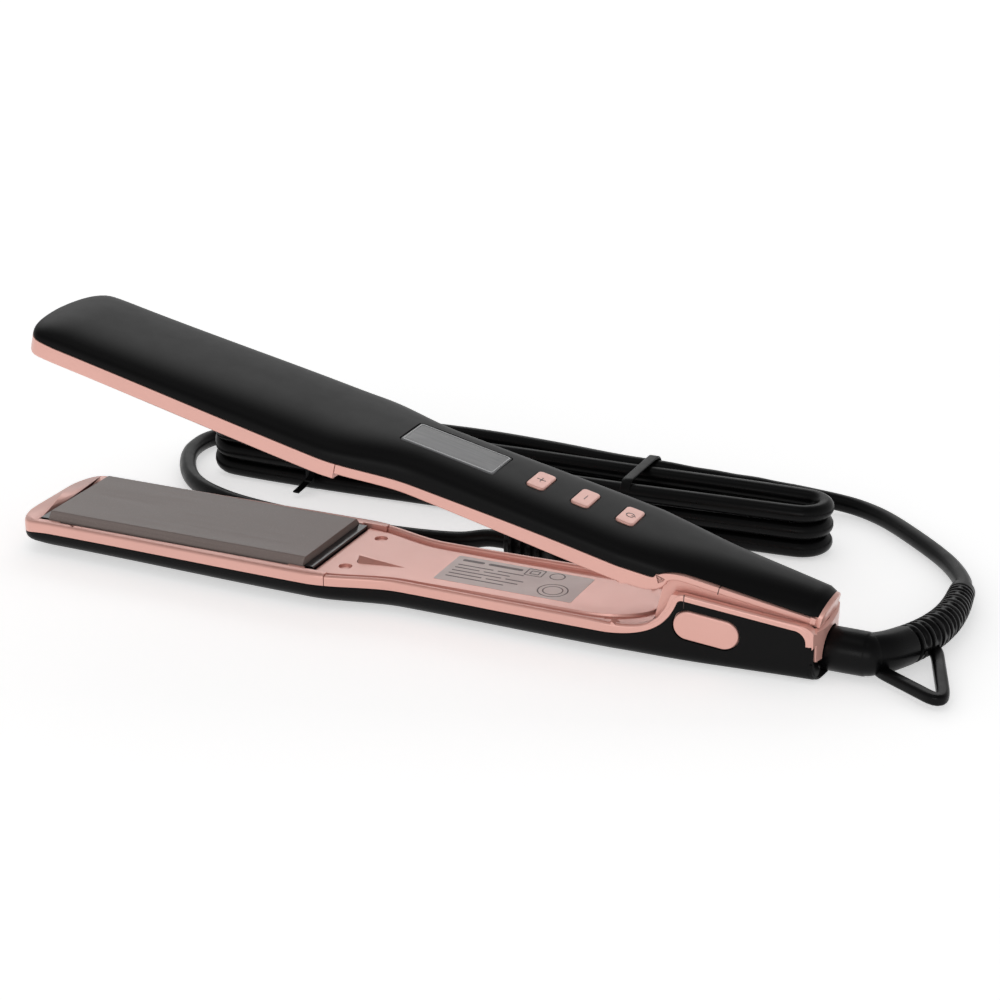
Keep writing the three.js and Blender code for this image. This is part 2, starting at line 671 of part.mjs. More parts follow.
const WINDOW_MID_X = -100.5;
const WINDOW_HALF_LENGTH = 17;
const WINDOW_HALF_WIDTH = 8;
const BUTTON_PITCH = 15.9;
const BUTTON_XS = [0, 1, 2].map((i) => -69.6 + BUTTON_PITCH * i);
const BUTTON_NAMES = ["button_plus", "button_minus", "button_power"];
const BUTTON_HALF_LENGTH = 3.2;
const BUTTON_HALF_WIDTH = 6;
const BUTTON_TRAVEL = 0.6;

function windowOutline(clearance) {
  const halfX = WINDOW_HALF_LENGTH + clearance;
  return roundedRectangle(WINDOW_MID_X, 0, halfX, WINDOW_HALF_WIDTH + clearance, 0.8);
}

function buttonOutline(x, clearance) {
  return roundedRectangle(x, 0, BUTTON_HALF_LENGTH + clearance, BUTTON_HALF_WIDTH + clearance, 1.6);
}

const CROWN_TOP_Z = CONTACT_Z + 17.3;

// The clear window follows the crown of the shell.
function displayWindow() {
  const lens = upperFull.intersect(planSlab(windowOutline(0), CROWN_TOP_Z - 2.6, 60));
  return lens;
}

function buttonCap(x) {
  const proud = upperFull.translate([0, 0, 0.5]).intersect(planSlab(buttonOutline(x, 0), CROWN_TOP_Z - 2.8, 60));
  const stem = bar("z", SWITCH_TOP_Z + BUTTON_TRAVEL + 0.3, CROWN_TOP_Z - 2.5, 1.3, [x, 0, 0], 10);
  return proud.add(stem);
}

const BOARD_TOP_Z = CONTACT_Z + 9.4;
const BOARD_THICKNESS = 1.6;
const SWITCH_TOP_Z = BOARD_TOP_Z + GAP + 2.4;

function controlBoard() {
  const outline = roundedRectangle(-80, 0, 46, 11, 1.5);
  return planSlab(outline, BOARD_TOP_Z - BOARD_THICKNESS, BOARD_TOP_Z);
}

function tactSwitch(x) {
  const body = box(x - 2.6, x + 2.6, -2.6, 2.6, BOARD_TOP_Z + GAP, BOARD_TOP_Z + GAP + 1.6);
  return body.add(bar("z", BOARD_TOP_Z + GAP + 1, SWITCH_TOP_Z, 1.4, [x, 0, 0], 10));
}

function displayModule() {
  return box(WINDOW_MID_X - 16.5, WINDOW_MID_X + 16.5, -7.4, 7.4, BOARD_TOP_Z + GAP, CROWN_TOP_Z - 3.4);
}

function thermalFuse() {
  return bar("x", PLATE_MID_X - 5, PLATE_MID_X + 6, 1.6, [0, 0, 2 * CONTACT_Z - HEATER_TOP_Z + 7.6], 10);
}

function flatWire(points, divisions) {
  const section = [[-1.9, -0.8], [1.9, -0.8], [1.9, 0.8], [-1.9, 0.8]];
  return strandGeometry(curvePoints(points, divisions), section);
}

function screw(y, isUpper) {
  const z = CONTACT_Z - RIM;
  const head = bar("z", z - 0.85, z - 0.15, 2.3, [SCREW_X, y, 0], 14);
  const slot = box(SCREW_X - 1.6, SCREW_X + 1.6, y - 0.25, y + 0.25, z - 0.5, z + 1);
  const shank = bar("z", z - 5.5, z - 0.5, 1.2, [SCREW_X, y, 0], 10);
  return mirrorToUpper(head.add(shank).subtract(slot), isUpper);
}

function ratingLabel() {
  const z = CONTACT_Z - RIM + 0.02;
  return planSlab(roundedRectangle(-75, 0, 24.5, 11.4, 0.8), z, z + 0.15);
}

// ---------------------------------------------------------------- hinge

const HINGE_HALF_WIDTH = halfWidth(0, false); // of the lower arm at the pin

function hingePin() {
  const reach = HINGE_HALF_WIDTH - 2.3;
  return bar("y", -reach, reach, PIN_RADIUS, [0, 0, HINGE_Z], 18);
}

function hingeBush(side) {
  const cheek = knuckleHalfWidth(0);
  const flange = [side * (cheek - KNUCKLE_WALL - 1.9), side * (cheek - KNUCKLE_WALL - 0.9)];
  const sleeve = [side * (cheek - KNUCKLE_WALL - 1.8), side * (cheek + 0.1)];
  const sorted = (pair) => [Math.min(...pair), Math.max(...pair)];
  const ring = bar("y", ...sorted(flange), PIN_RADIUS + 3, [0, 0, HINGE_Z]);
  const tube = bar("y", ...sorted(sleeve), PIN_RADIUS + 1.3, [0, 0, HINGE_Z]);
  return ring.add(tube).subtract(bar("y", -40, 40, PIN_RADIUS + GAP, [0, 0, HINGE_Z]));
}

// An oval cap that closes the hinge on one side; it follows the taper of the tail.
function hingeCap(side) {
  const proud = lowerFull.translate([0, side * 0.4, 0]);
  const seat = tailInside(WALL - 0.4, -20, 20);
  const flank = side > 0 ? box(-20, 20, 2, 30, 0, 40) : box(-20, 20, -30, -2, 0, 40);
  return proud.intersect(capSlab(0, -30, 30)).intersect(flank).subtract(seat);
}

// A torsion spring round the pin: one leg on the floor of the lower arm, one under the upper shell.
function openingSpring() {
  const radius = PIN_RADIUS + 1.6;
  const turns = 4;
  const steps = 8 * turns;
  const points = [new THREE.Vector3(-12, -4.4, HINGE_Z - 6.6), new THREE.Vector3(-6, -4.4, HINGE_Z - 5)];
  for (let i = 0; i <= steps; i++) {
    const angle = -0.6 * Math.PI - (2 * Math.PI * turns * i) / steps;
    const y = -4.2 + (8.4 * i) / steps;
    points.push(new THREE.Vector3(radius * Math.cos(angle), y, HINGE_Z + radius * Math.sin(angle)));
  }
  points.push(new THREE.Vector3(-6, 4.4, HINGE_Z - 4), new THREE.Vector3(-11, 4.4, HINGE_Z + 1));
  return strandGeometry(points, circleSection(0.55, 5));
}

// ---------------------------------------------------------------- swivel, cord and plug

// A cup with two ears that sit in the lining; the flange of the cord guard turns inside it.
function swivelSocket() {
  const cupRear = STUB_FRONT_X - 0.8;
  const cup = bar("x", 19, cupRear, NECK_RADIUS + 2.1, [0, 0, STUB_Z], 24);
  const ears = box(20, 26, -9, 9, STUB_Z - 1.5, STUB_Z + 1.5);
  const bore = bar("x", 21, cupRear - 2.7, NECK_RADIUS + 1.1, [0, 0, STUB_Z], 24);
  const mouth = bar("x", cupRear - 3, cupRear + 1, NECK_RADIUS + GAP, [0, 0, STUB_Z], 24);
  const pinHole = bar("x", 18, 22, 1.6 + GAP, [0, 0, STUB_Z], 12);
  return cup.add(ears).subtract(bore).subtract(mouth).subtract(pinHole);
}

function swivelContact() {
  const ring = bar("x", 21.5, 24, NECK_RADIUS + 0.7, [0, 0, STUB_Z], 20);
  return ring.subtract(bar("x", 20, 25, 2.4, [0, 0, STUB_Z], 12));
}

function swivelPin() {
  return bar("x", 17, 28, 1.6, [0, 0, STUB_Z], 12);
}

const RELIEF_POINTS = [
  [REAR_X + 12, 0, STUB_Z],
  [REAR_X + 16, 4.3, 7.5],
  [REAR_X + 19.2, 10.2, 7.2],
  [REAR_X + 22, 17.4, 6.8],
  [REAR_X + 24.4, 26.1, 6.4],
  [REAR_X + 26, 38.5, 5.8],
  [REAR_X + 25.9, 51, 5.3],
  [REAR_X + 24.3, 66, 4.7],
];

function reliefPath(divisions) {
  return curvePoints(RELIEF_POINTS, divisions);
}

// The moulded cord guard: a stub in the swivel, then a ribbed sleeve that tapers towards the cord.
function strainRelief() {
  const stub = bar("x", STUB_FRONT_X, REAR_X + 13, STUB_RADIUS, [0, 0, STUB_Z], 24, STUB_RADIUS - 0.2);
  const neck = bar("x", 26, STUB_FRONT_X + 1, NECK_RADIUS, [0, 0, STUB_Z], 20);
  const flange = bar("x", 26, STUB_FRONT_X - 4, NECK_RADIUS + 0.8, [0, 0, STUB_Z], 20);
  const path = reliefPath(30);
  const rings = [];
  const side = new THREE.Vector3(0, 0, 1);
  for (let i = 0; i < path.length; i++) {
    const before = path[Math.max(i - 1, 0)];
    const after = path[Math.min(i + 1, path.length - 1)];
    const tangent = after.clone().sub(before).normalize();
    const across = side.clone().cross(tangent).normalize();
    const up = tangent.clone().cross(across);
    const t = i / (path.length - 1);
    const ribbed = t > 0.2 && i % 2 === 0 ? 0.6 : 0;
    const radius = mix(6.5, 3.9, t ** 1.3) + ribbed;
    rings.push(circleSection(radius, 10).map(([u, v]) =>
      path[i].clone().addScaledVector(across, u).addScaledVector(up, v)));
  }
  const sleeve = toSolid(loftGeometry(rings));
  const bore = bar("x", 20, 31, 2, [0, 0, STUB_Z], 12);
  return stub.add(neck).add(flange).add(sleeve).add(hangingLoop()).subtract(bore);
}

// A flat triangular loop for hanging the iron up.
function hangingLoop() {
  const corner = (x, y) => new THREE.Vector2(x, y);
  const outline = [corner(REAR_X + 11, -1), corner(REAR_X + 44, -18), corner(REAR_X + 26.5, 28)];
  const centre = outline.reduce((sum, p) => sum.add(p), new THREE.Vector2()).divideScalar(3);
  const ring = (shrink, radius) => {
    const shape = new THREE.Shape();
    outline.forEach((p, i) => {
      const next = outline[(i + 1) % 3];
      const previous = outline[(i + 2) % 3];
      const q = p.clone().lerp(centre, shrink);
      const from = q.clone().lerp(previous, radius);
      const to = q.clone().lerp(next, radius);
      if (i === 0) {
        shape.moveTo(from.x, from.y);
      } else {
        shape.lineTo(from.x, from.y);
      }
      shape.quadraticCurveTo(q.x, q.y, to.x, to.y);
    });
    return shape;
  };
  const solid = planSlab(ring(0, 0.14), STUB_Z - 6, STUB_Z - 2.4);
  const hole = planSlab(ring(0.42, 0.1), STUB_Z - 10, STUB_Z + 10);
  const tongue = box(REAR_X + 8, REAR_X + 19, -4, 3, STUB_Z - 6, STUB_Z - 2.4);
  return solid.subtract(hole).add(tongue);
}

// The hank: three racetrack turns stacked on each other, each a cord's width above the last.
const HANK_REAR_X = -3.5; // centre of the bends near the hinge
const HANK_FRONT_X = -219; // centre of the bends near the plates
const HANK_NEAR_Y = 81.4; // near run, at X = 0
const HANK_SKEW = 0.05; // the hank lies slightly askew
const HANK_BEND = 8; // radius of the bends
const HANK_TURNS = 3;
const HANK_RISE = 2 * CORD_RADIUS + 0.2;

// A point of the hank: "across" runs from the near run (0) to the far run (1).
function hankPoint(x, across, level) {
  const y = HANK_NEAR_Y + HANK_SKEW * x + 2 * HANK_BEND * across;
  return [x, y, CORD_Z + HANK_RISE * level];
}

// Each turn: far run, bend near the hinge, near run, then a bend that climbs to the next turn.
function hankPath() {
  const steps = 6;
  const points = [];
  for (let turn = 0; turn < HANK_TURNS; turn++) {
    for (let i = 0; i <= steps; i++) {
      const angle = (Math.PI * i) / steps;
      const x = HANK_REAR_X + HANK_BEND * Math.sin(angle);
      points.push(hankPoint(x, (1 + Math.cos(angle)) / 2, turn));
    }
    for (let i = 0; i <= steps; i++) {
      const angle = (Math.PI * i) / steps;
      const x = HANK_FRONT_X - HANK_BEND * Math.sin(angle);
      const level = turn + smoothstep(i, 0, steps);
      points.push(hankPoint(x, (1 - Math.cos(angle)) / 2, turn + 1 < HANK_TURNS ? level : turn));
    }
  }
  return points;
}

function roundCord(points) {
  return strandGeometry(points.map((p) => new THREE.Vector3(...p)), circleSection(CORD_RADIUS, 7));
}

const LEAD_POINTS = [
  [REAR_X + 24.2, 67, 4.6],
  [REAR_X + 22.5, 74, 4.2],
  [REAR_X + 14, 89, CORD_Z],
  [REAR_X - 3, 107, CORD_Z],
  [REAR_X - 20, 121.5, CORD_Z],
  [4, 127, CORD_Z + 0.2],
  [-8, 126.4, CORD_Z + 1.5],
  [-18, 123.4, CORD_Z + 3.3],
];

function cordLead() {
  return strandGeometry(curvePoints(LEAD_POINTS, 14), circleSection(CORD_RADIUS, 7));
}

// From the top of the hank the cord runs back along the far side, through the tie, and down to the lead.
const RETURN_POINTS = [
  [-170, 99, 17.5],
  [-140, 104, 17],
  [-105, 103.5, 17],
  [-75, 101.5, 17],
  [-60, 103, 16.4],
  [-48, 107, 14.4],
  [-36, 113.5, 11.4],
  [-27, 118.8, 9.2],
  [-18.9, 123, CORD_Z + 3.5],
];

// From the plug the cord runs along the arm, round the front of the hank and into its lowest far run.
const PLUG_CORD_POINTS = [
  [-92.4, 37, 7.8], [-99, 37, 7.7], [-112, 36, 5.2], [-140, 35, CORD_Z], [-175, 36, CORD_Z], [-206, 41, CORD_Z],
  [-224, 50, CORD_Z], [-236, 64, CORD_Z], [-243, 80, CORD_Z], [-242, 94, CORD_Z], [-232, 102, CORD_Z],
  [-214, 101.5, CORD_Z], [-192, 95, CORD_Z], [-170, 90.4, CORD_Z], [-150, 89.9, CORD_Z],
];

function powerCord() {
  const asArrays = (vectors) => vectors.map((p) => [p.x, p.y, p.z]);
  const start = asArrays(curvePoints(PLUG_CORD_POINTS, 34));
  const leave = asArrays(curvePoints(RETURN_POINTS, 16));
  return roundCord([...start, ...hankPath(), ...leave]);
}

// A flat band round the hank, with a tail that lies towards the arm.
function cordTie(x, farY, topZ, tailLength) {
  const near = HANK_NEAR_Y + HANK_SKEW * x - CORD_RADIUS - 0.5;
  const outer = box(x - 1.8, x + 1.8, near - 0.7, farY + 0.7, 0.05, topZ + 0.7);
  const inner = box(x - 5, x + 5, near, farY, 0.35, topZ);
  const tail = box(x - 1.2, x + 1.2, near - 0.6 - tailLength, near - 0.4, 4, 4.8);
  return outer.subtract(inner).add(tail);
}

const PLUG_REAR_X = -92;
const PLUG_Y = 37;
const PLUG_Z = 7.9;
const PLUG_FRONT_X = -46;

// The moulded plug: a ribbed sleeve that widens into a waisted grip.
function plugBody() {
  const stations = [
    [PLUG_REAR_X + 0.3, 4.4, 4.4], [PLUG_REAR_X + 16, 5.4, 5.2], [PLUG_REAR_X + 19, 8.5, 6],
    [PLUG_REAR_X + 28, 10.5, 6.8], [PLUG_FRONT_X - 8, 9.6, 6.6], [PLUG_FRONT_X - 3, 12, 7.6],
    [PLUG_FRONT_X, 12, 7.6],
  ];
  const rings = stations.map(([x, halfY, halfZ]) => {
    const ring = [];
    for (let i = 0; i < 12; i++) {
      const angle = (2 * Math.PI * i) / 12;
      const y = halfY * Math.sign(Math.cos(angle)) * Math.abs(Math.cos(angle)) ** 0.7;
      const z = halfZ * Math.sign(Math.sin(angle)) * Math.abs(Math.sin(angle)) ** 0.7;
      ring.push(new THREE.Vector3(x, PLUG_Y + y, PLUG_Z + z));
    }
    return ring;
  });
  let body = toSolid(loftGeometry(rings));
  for (let i = 0; i < 4; i++) {
    body = body.add(bar("x", PLUG_REAR_X + 2 + 3.6 * i, PLUG_REAR_X + 4 + 3.6 * i, 6, [0, PLUG_Y, PLUG_Z], 12));
  }
  for (const y of BLADE_YS) {
    body = body.subtract(box(PLUG_FRONT_X - 6, PLUG_FRONT_X + 1, y - 1.1, y + 1.1, PLUG_Z - 3.6, PLUG_Z + 3.6));
  }
  return body;
}

const BLADE_YS = [PLUG_Y - 6.35, PLUG_Y + 6.35];

function plugBlade(y) {
  const blade = box(PLUG_FRONT_X - 5.5, PLUG_FRONT_X + 17, y - 0.75, y + 0.75, PLUG_Z - 3.15, PLUG_Z + 3.15);
  return blade.subtract(bar("y", y - 3, y + 3, 1.6, [PLUG_FRONT_X + 12, 0, PLUG_Z], 12));
}

// ---------------------------------------------------------------- the two arms

function plateParts(prefix, isUpper) {
  const flip = (solid) => mirrorToUpper(solid, isUpper);
  const frontX = PLATE_FRONT_X - GAP;
  const rearX = PLATE_REAR_X + GAP;
  const name = (suffix) => `${prefix}_${suffix}`;
  return [
    part(name("heating_plate"), flip(heatingPlate()), platePaint),
    part(name("heater_carrier"), flip(heater()), aluminium),
    part(name("heater_element"), flip(heaterElement()), fuseWhite),
    part(name("plate_front_bar"), flip(plateEndBar(frontX - END_BAR_LENGTH, frontX)), glossBlack),
    part(name("plate_rear_bar"), flip(plateEndBar(rearX, rearX + END_BAR_LENGTH)), glossBlack),
    part(name("front_cushion"), flip(cushion(PLATE_MID_X - CUSHION_SPREAD)), siliconePad),
    part(name("rear_cushion"), flip(cushion(PLATE_MID_X + CUSHION_SPREAD)), siliconePad),
    part(name("left_screw"), screw(SCREW_Y, isUpper), steel),
    part(name("right_screw"), screw(-SCREW_Y, isUpper), steel),
  ];
}

function lowerArm() {
  const arm = new THREE.Group();
  const heaterWire = [[PLATE_REAR_X - 4, 0, 6], [PLATE_REAR_X + 8, 4, 5.4], [-90, 5, 4.6], [-24, 5, 4.6]];
  arm.add(
    part("lower_shell", lowerShell(), softBlack),
    part("lower_plate_carrier", plateCarrier(lowerFull, lowerCoverZone(), false), roseGold),
    part("lower_handle_cover", lowerCover(), roseGold),
    ...plateParts("lower", false),
    part("lower_heater_leads", flatWire(heaterWire, 8), wireRed),
    part("rating_label", ratingLabel(), labelPaper),
    part("hinge_pin", hingePin(), steel),
    part("hinge_cap_left", hingeCap(1), roseGold),
    part("hinge_cap_right", hingeCap(-1), roseGold),
    part("opening_spring", openingSpring(), steel),
    part("swivel_socket", swivelSocket(), glossBlack),
    part("swivel_ring_contact", swivelContact(), brass),
  );
  return arm;
}

function upperArm() {
  const arm = new THREE.Group();
  const z = 2 * CONTACT_Z;
  const heaterWire = [[PLATE_REAR_X - 4, 6, z - 5], [PLATE_REAR_X + 10, 6, z - 5.6], [-127, 6, z - 6]];
  arm.add(
    part("upper_shell", upperShell(), softBlack),
    part("upper_plate_carrier", plateCarrier(upperFull, upperCoverZone(), true), roseGold),
    part("upper_handle_cover", upperCover(), roseGold),
    ...plateParts("upper", true),
    part("upper_heater_leads", flatWire(heaterWire, 6), wireRed),
    part("thermal_fuse", thermalFuse(), fuseWhite),
    part("control_board", controlBoard(), boardGreen),
    part("display_module", displayModule(), displayGlass),
    part("display_window", displayWindow(), clearLens),
    part("hinge_bush_left", hingeBush(1), bushWhite),
    part("hinge_bush_right", hingeBush(-1), bushWhite),
  );
  BUTTON_XS.forEach((x, i) => {
    arm.add(part(BUTTON_NAMES[i], buttonCap(x), roseGold));
    arm.add(part(BUTTON_NAMES[i].replace("button", "switch"), tactSwitch(x), glossBlack));
  });
  arm.position.z = -HINGE_Z;
  const swing = new THREE.Group();
  swing.add(arm);
  swing.position.z = HINGE_Z;
  swing.rotation.y = OPEN_ANGLE;
  return swing;
}

function cordAndPlug() {
  const cord = new THREE.Group();
  cord.add(
    part("cord_guard", strainRelief(), cordBlack),
    part("swivel_centre_contact", swivelPin(), brass),
    part("cord_lead", cordLead(), cordBlack),
    part("power_cord", powerCord(), cordBlack),
    part("cord_tie_front", cordTie(-186, 101.6, 21.2, 7), cordBlack),
    part("cord_tie_rear", cordTie(-64, 106, 20.6, 1), cordBlack),
    part("plug_body", plugBody(), cordBlack),
    part("plug_blade_left", plugBlade(BLADE_YS[1]), brass),
    part("plug_blade_right", plugBlade(BLADE_YS[0]), brass),
  );
  return cord;
}

const group = new THREE.Group();
group.add(lowerArm(), upperArm(), cordAndPlug());

export default group;
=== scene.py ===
"""Looks of a corded hair straightener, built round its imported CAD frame.

Shapes are written in millimetres in the frame of the CAD and scaled to metres when a mesh is made.
The upper arm is described closed and then swung open about the hinge pin, like the CAD.
"""

import json
import math

import bmesh
import bpy
import numpy as np
from mathutils import Matrix, Vector


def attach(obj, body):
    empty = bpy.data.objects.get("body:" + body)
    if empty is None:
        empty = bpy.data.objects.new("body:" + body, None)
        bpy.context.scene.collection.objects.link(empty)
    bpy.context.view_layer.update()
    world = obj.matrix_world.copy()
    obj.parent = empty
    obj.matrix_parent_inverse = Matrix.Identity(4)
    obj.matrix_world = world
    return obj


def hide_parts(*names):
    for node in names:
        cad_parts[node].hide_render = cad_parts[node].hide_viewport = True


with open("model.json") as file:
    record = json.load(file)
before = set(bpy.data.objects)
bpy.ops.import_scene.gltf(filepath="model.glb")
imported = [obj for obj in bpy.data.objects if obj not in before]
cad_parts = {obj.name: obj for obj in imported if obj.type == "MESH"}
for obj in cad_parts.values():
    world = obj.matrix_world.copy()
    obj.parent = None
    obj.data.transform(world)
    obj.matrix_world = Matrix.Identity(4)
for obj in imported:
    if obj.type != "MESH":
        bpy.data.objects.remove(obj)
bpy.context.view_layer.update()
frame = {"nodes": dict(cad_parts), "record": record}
MM = 0.001

# -------- driving dimensions (mm)

NOSE_X = -254.0
NOSE_LENGTH = 16.0
NOSE_ROUNDING = 8.5
NOSE_POWER = 2.4
NOSE_STEPS = (0, 0.05, 0.12, 0.25, 0.45, 0.75, 1.1, 1.6, 2.2, 3, 4, 5.2, 6.6, 8.2, 10, 12, 14)
REAR_X = 36.0
UPPER_REAR_X = 32.2
UPPER_SHELL_END_X = UPPER_REAR_X - 1.2
LOWER_SHELL_END_X = 33.5
CONTACT_Z = 15.0
HINGE_Z = 13.8
OPEN_ANGLE = math.radians(13)

PLATE_FRONT_X = -241.0
PLATE_REAR_X = -141.0
PLATE_MIDDLE_X = (PLATE_FRONT_X + PLATE_REAR_X) / 2
SEAM_X = -131.0
SEAM_GAP = 0.2
LOWER_PARTING = 6.5
UPPER_PARTING = 8.2
UPPER_PARTING_HANDLE = 10.0
WALL = 1.8
PARTING_GAP = 0.15
INNER_LIP = 0.35
TRIM_PROUD = 0.12
CROWN_POINTS = 60

TAIL_TAPER_X = -32.0
TAIL_START_X = -34.0
TAIL_TOP_X = -9.6
TAIL_RIM_Z = 22.8
TAIL_RIM_DROP = 5.0
ARCH_START_X = -20.0
ARCH_LENGTH = 10.0
ARCH_TOP_Z = 28.9
ARCH_REAR_Z = 28.5
CURL_X, CURL_RADIUS = 27.3, 4.1
REAR_WALL_Z = 6.8
SIDES = ((1, "left"), (-1, "right"))

# The raised middle of the handle cover, the groove round it and what lies on it.
DECK_FRONT_X = SEAM_X - 5.9
DECK_TONGUE_X = -44.0
DECK_TONGUE = 22.4
DECK_TOP_Z = 11.15
DECK_EDGE_Z = 10.2
GROOVE_END_X = -21.6
SCREW_HOLE_X = SEAM_X + 1.8
SCREW_HOLE_YS = (-12.4, 14)
LABEL_X, LABEL_Y, LABEL_Z = -73.6, 1.0, 11.24
LABEL_HALF = (24.6, 10.4)

WINDOW_MID_X = -100.5
WINDOW_HALF = (17.0, 8.0)
BUTTON_XS = [-69.6 + 15.9 * i for i in range(3)]
BUTTON_HALF = (3.2, 6.0)
BUTTON_CORNER = 1.6
CAP_HALF = (10.5, 4.8)
CAP_TILT = math.radians(8)

# The stub of the cord guard, the ribbed sleeve that bends away from it, and the loop below.
STUB_RADIUS = 7.2
STUB_Z = 7.6
STUB_FRONT_X = REAR_X - 3
ELBOW_X = REAR_X + 11.8
ELBOW_RADIUS = 6.85
RELIEF_POINTS = [(ELBOW_X, 0, STUB_Z), (REAR_X + 16, 4.3, 7.5), (REAR_X + 19.2, 10.2, 7.2),
                 (REAR_X + 22, 17.4, 6.8), (REAR_X + 24.4, 26.1, 6.4), (REAR_X + 26, 38.5, 5.8),
                 (REAR_X + 25.9, 51, 5.3), (REAR_X + 24.3, 66, 4.7)]
RIB_PITCH = 2.9
RIB_START = 14.5
RIB_MARGIN = 2.5
RIB_DEPTH = 1.25
LOOP_CORNERS = ((REAR_X + 12.5, 0.6), (REAR_X + 41.2, -16.6), (REAR_X + 26.8, 25.0))
LOOP_ROUNDING = 0.24
LOOP_Z = 3.4

# The cord leaves the guard, turns forward, lies in a hank of three turns and ends at the plug.
CORD_RADIUS = 3.1
CORD_SIDES = 18
CORD_Z = 3.7
LEAD_POINTS = [(REAR_X + 24.2, 66.3, 4.65), (REAR_X + 22.5, 74, 4.2), (REAR_X + 14, 89, CORD_Z),
               (REAR_X - 3, 107, CORD_Z), (REAR_X - 20, 121.5, CORD_Z), (4, 127, CORD_Z + 0.2),
               (-8, 126.4, CORD_Z + 1.5), (-18.4, 123.2, CORD_Z + 3.4)]
RETURN_POINTS = [(-170, 99, 17.5), (-140, 104, 17), (-105, 103.5, 17), (-75, 101.5, 17), (-60, 103, 16.4),
                 (-48, 107, 14.4), (-36, 113.5, 11.4), (-27, 118.8, 9.2), (-18.4, 123.2, CORD_Z + 3.4)]
PLUG_CORD_POINTS = [(-90, 37, 7.9), (-99, 37, 7.7), (-112, 36, 5.2), (-140, 35, CORD_Z), (-175, 36, CORD_Z),
                    (-206, 41, CORD_Z), (-224, 50, CORD_Z), (-236, 64, CORD_Z), (-243, 80, CORD_Z),
                    (-242, 94, CORD_Z), (-232, 102, CORD_Z), (-214, 101.5, CORD_Z), (-192, 95, CORD_Z),
                    (-170, 90.4, CORD_Z), (-150, 89.9, CORD_Z)]
HANK_REAR_X, HANK_FRONT_X = -3.5, -219.0
HANK_NEAR_Y, HANK_SKEW, HANK_BEND, HANK_TURNS = 81.4, 0.05, 8.0, 3
HANK_RISE = 2 * CORD_RADIUS + 0.2
FRONT_TIE_X, REAR_TIE_X = -186, -64
PLUG_Y, PLUG_Z = 37, 7.9
PLUG_STATIONS = [(-91.7, 4.4, 4.4), (-91.2, 4.8, 4.8), (-76.2, 5.6, 5.3), (-73.6, 7.9, 5.8), (-70, 9.6, 6.4),
                 (-64, 10.5, 6.8), (-59, 10.2, 6.7), (-54, 9.6, 6.6), (-50, 11.2, 7.2), (-48.6, 11.9, 7.5),
                 (-46.6, 12, 7.6), (-46, 11.4, 7.1)]
PLUG_RIB = ((0, 4.6), (0.2, 5.8), (0.5, 6.1), (1.5, 6.1), (1.8, 5.8), (2, 4.6))
PLUG_RIB_X, PLUG_RIB_PITCH = -90, 3.6

FOCAL_LENGTH = 93.6
CAMERA_TURN = math.radians(-24.37)
CAMERA_TILT = math.radians(21.66)
CAMERA_PLACE = (0.2470, -0.7180, 0.3518)


# -------- small maths helpers

def clamp(value, low, high):
    return max(low, min(high, value))


def smoothstep(x, start, end):
    t = clamp((x - start) / (end - start), 0, 1)
    return t * t * (3 - 2 * t)


def mix(a, b, t):
    return a + (b - a) * t


def swing(point):
    """From the closed position of the upper arm to its open rest position."""
    x, y, z = point
    c, s = math.cos(OPEN_ANGLE), math.sin(OPEN_ANGLE)
    return (x * c + (z - HINGE_Z) * s, y, HINGE_Z - x * s + (z - HINGE_Z) * c)


def resample(points, count):
    """Points at equal distances along a polyline."""
    p = np.array(points, float)
    length = np.concatenate([[0], np.cumsum(np.linalg.norm(np.diff(p, axis=0), axis=1))])
    at = np.linspace(0, length[-1], count)
    return np.stack([np.interp(at, length, p[:, k]) for k in range(p.shape[1])], axis=1)


def bezier(p0, p1, p2, p3, count):
    t = np.linspace(0, 1, count)[:, None]
    p0, p1, p2, p3 = (np.array(p, float) for p in (p0, p1, p2, p3))
    return (1 - t) ** 3 * p0 + 3 * (1 - t) ** 2 * t * p1 + 3 * (1 - t) * t * t * p2 + t ** 3 * p3


def spline(points, step):
    """A smooth curve through the points, sampled about every step millimetres."""
    p = np.array(points, float)
    p = np.vstack([2 * p[0] - p[1], p, 2 * p[-1] - p[-2]])
    out = []
    for i in range(1, len(p) - 2):
        knots = [0.0]
        for k in range(3):
            knots.append(knots[-1] + max(np.linalg.norm(p[i + k] - p[i + k - 1]) ** 0.5, 1e-6))
        t0, t1, t2, t3 = knots
        count = max(2, int(round(np.linalg.norm(p[i + 1] - p[i]) / step)))
        for t in np.linspace(t1, t2, count, endpoint=False):
            a1 = (t1 - t) / (t1 - t0) * p[i - 1] + (t - t0) / (t1 - t0) * p[i]
            a2 = (t2 - t) / (t2 - t1) * p[i] + (t - t1) / (t2 - t1) * p[i + 1]
            a3 = (t3 - t) / (t3 - t2) * p[i + 1] + (t - t2) / (t3 - t2) * p[i + 2]
            b1 = (t2 - t) / (t2 - t0) * a1 + (t - t0) / (t2 - t0) * a2
            b2 = (t3 - t) / (t3 - t1) * a2 + (t - t1) / (t3 - t1) * a3
            out.append((t2 - t) / (t2 - t1) * b1 + (t - t1) / (t2 - t1) * b2)
    out.append(p[-2])
    return np.array(out)


# -------- outline of the arms

def nose_fraction(x, length=NOSE_LENGTH):
    return clamp((NOSE_X + length - x) / length, 0, 1)


def half_width(x, upper):
    front = mix(24.2, 25.6, smoothstep(x, -240, -140))
    handle = mix(19.0, 20.2, smoothstep(x, -105, -35))
    necked = mix(front, handle, smoothstep(x, -138, -106))
    full = necked - (0.15 if upper else 0.1) * max(x - TAIL_TAPER_X, 0)
    return full * (1 - min(nose_fraction(x, NOSE_ROUNDING), 0.99) ** NOSE_POWER) ** (1 / NOSE_POWER)


def nose_bend(x):
    return 1.8 * nose_fraction(x) ** 2


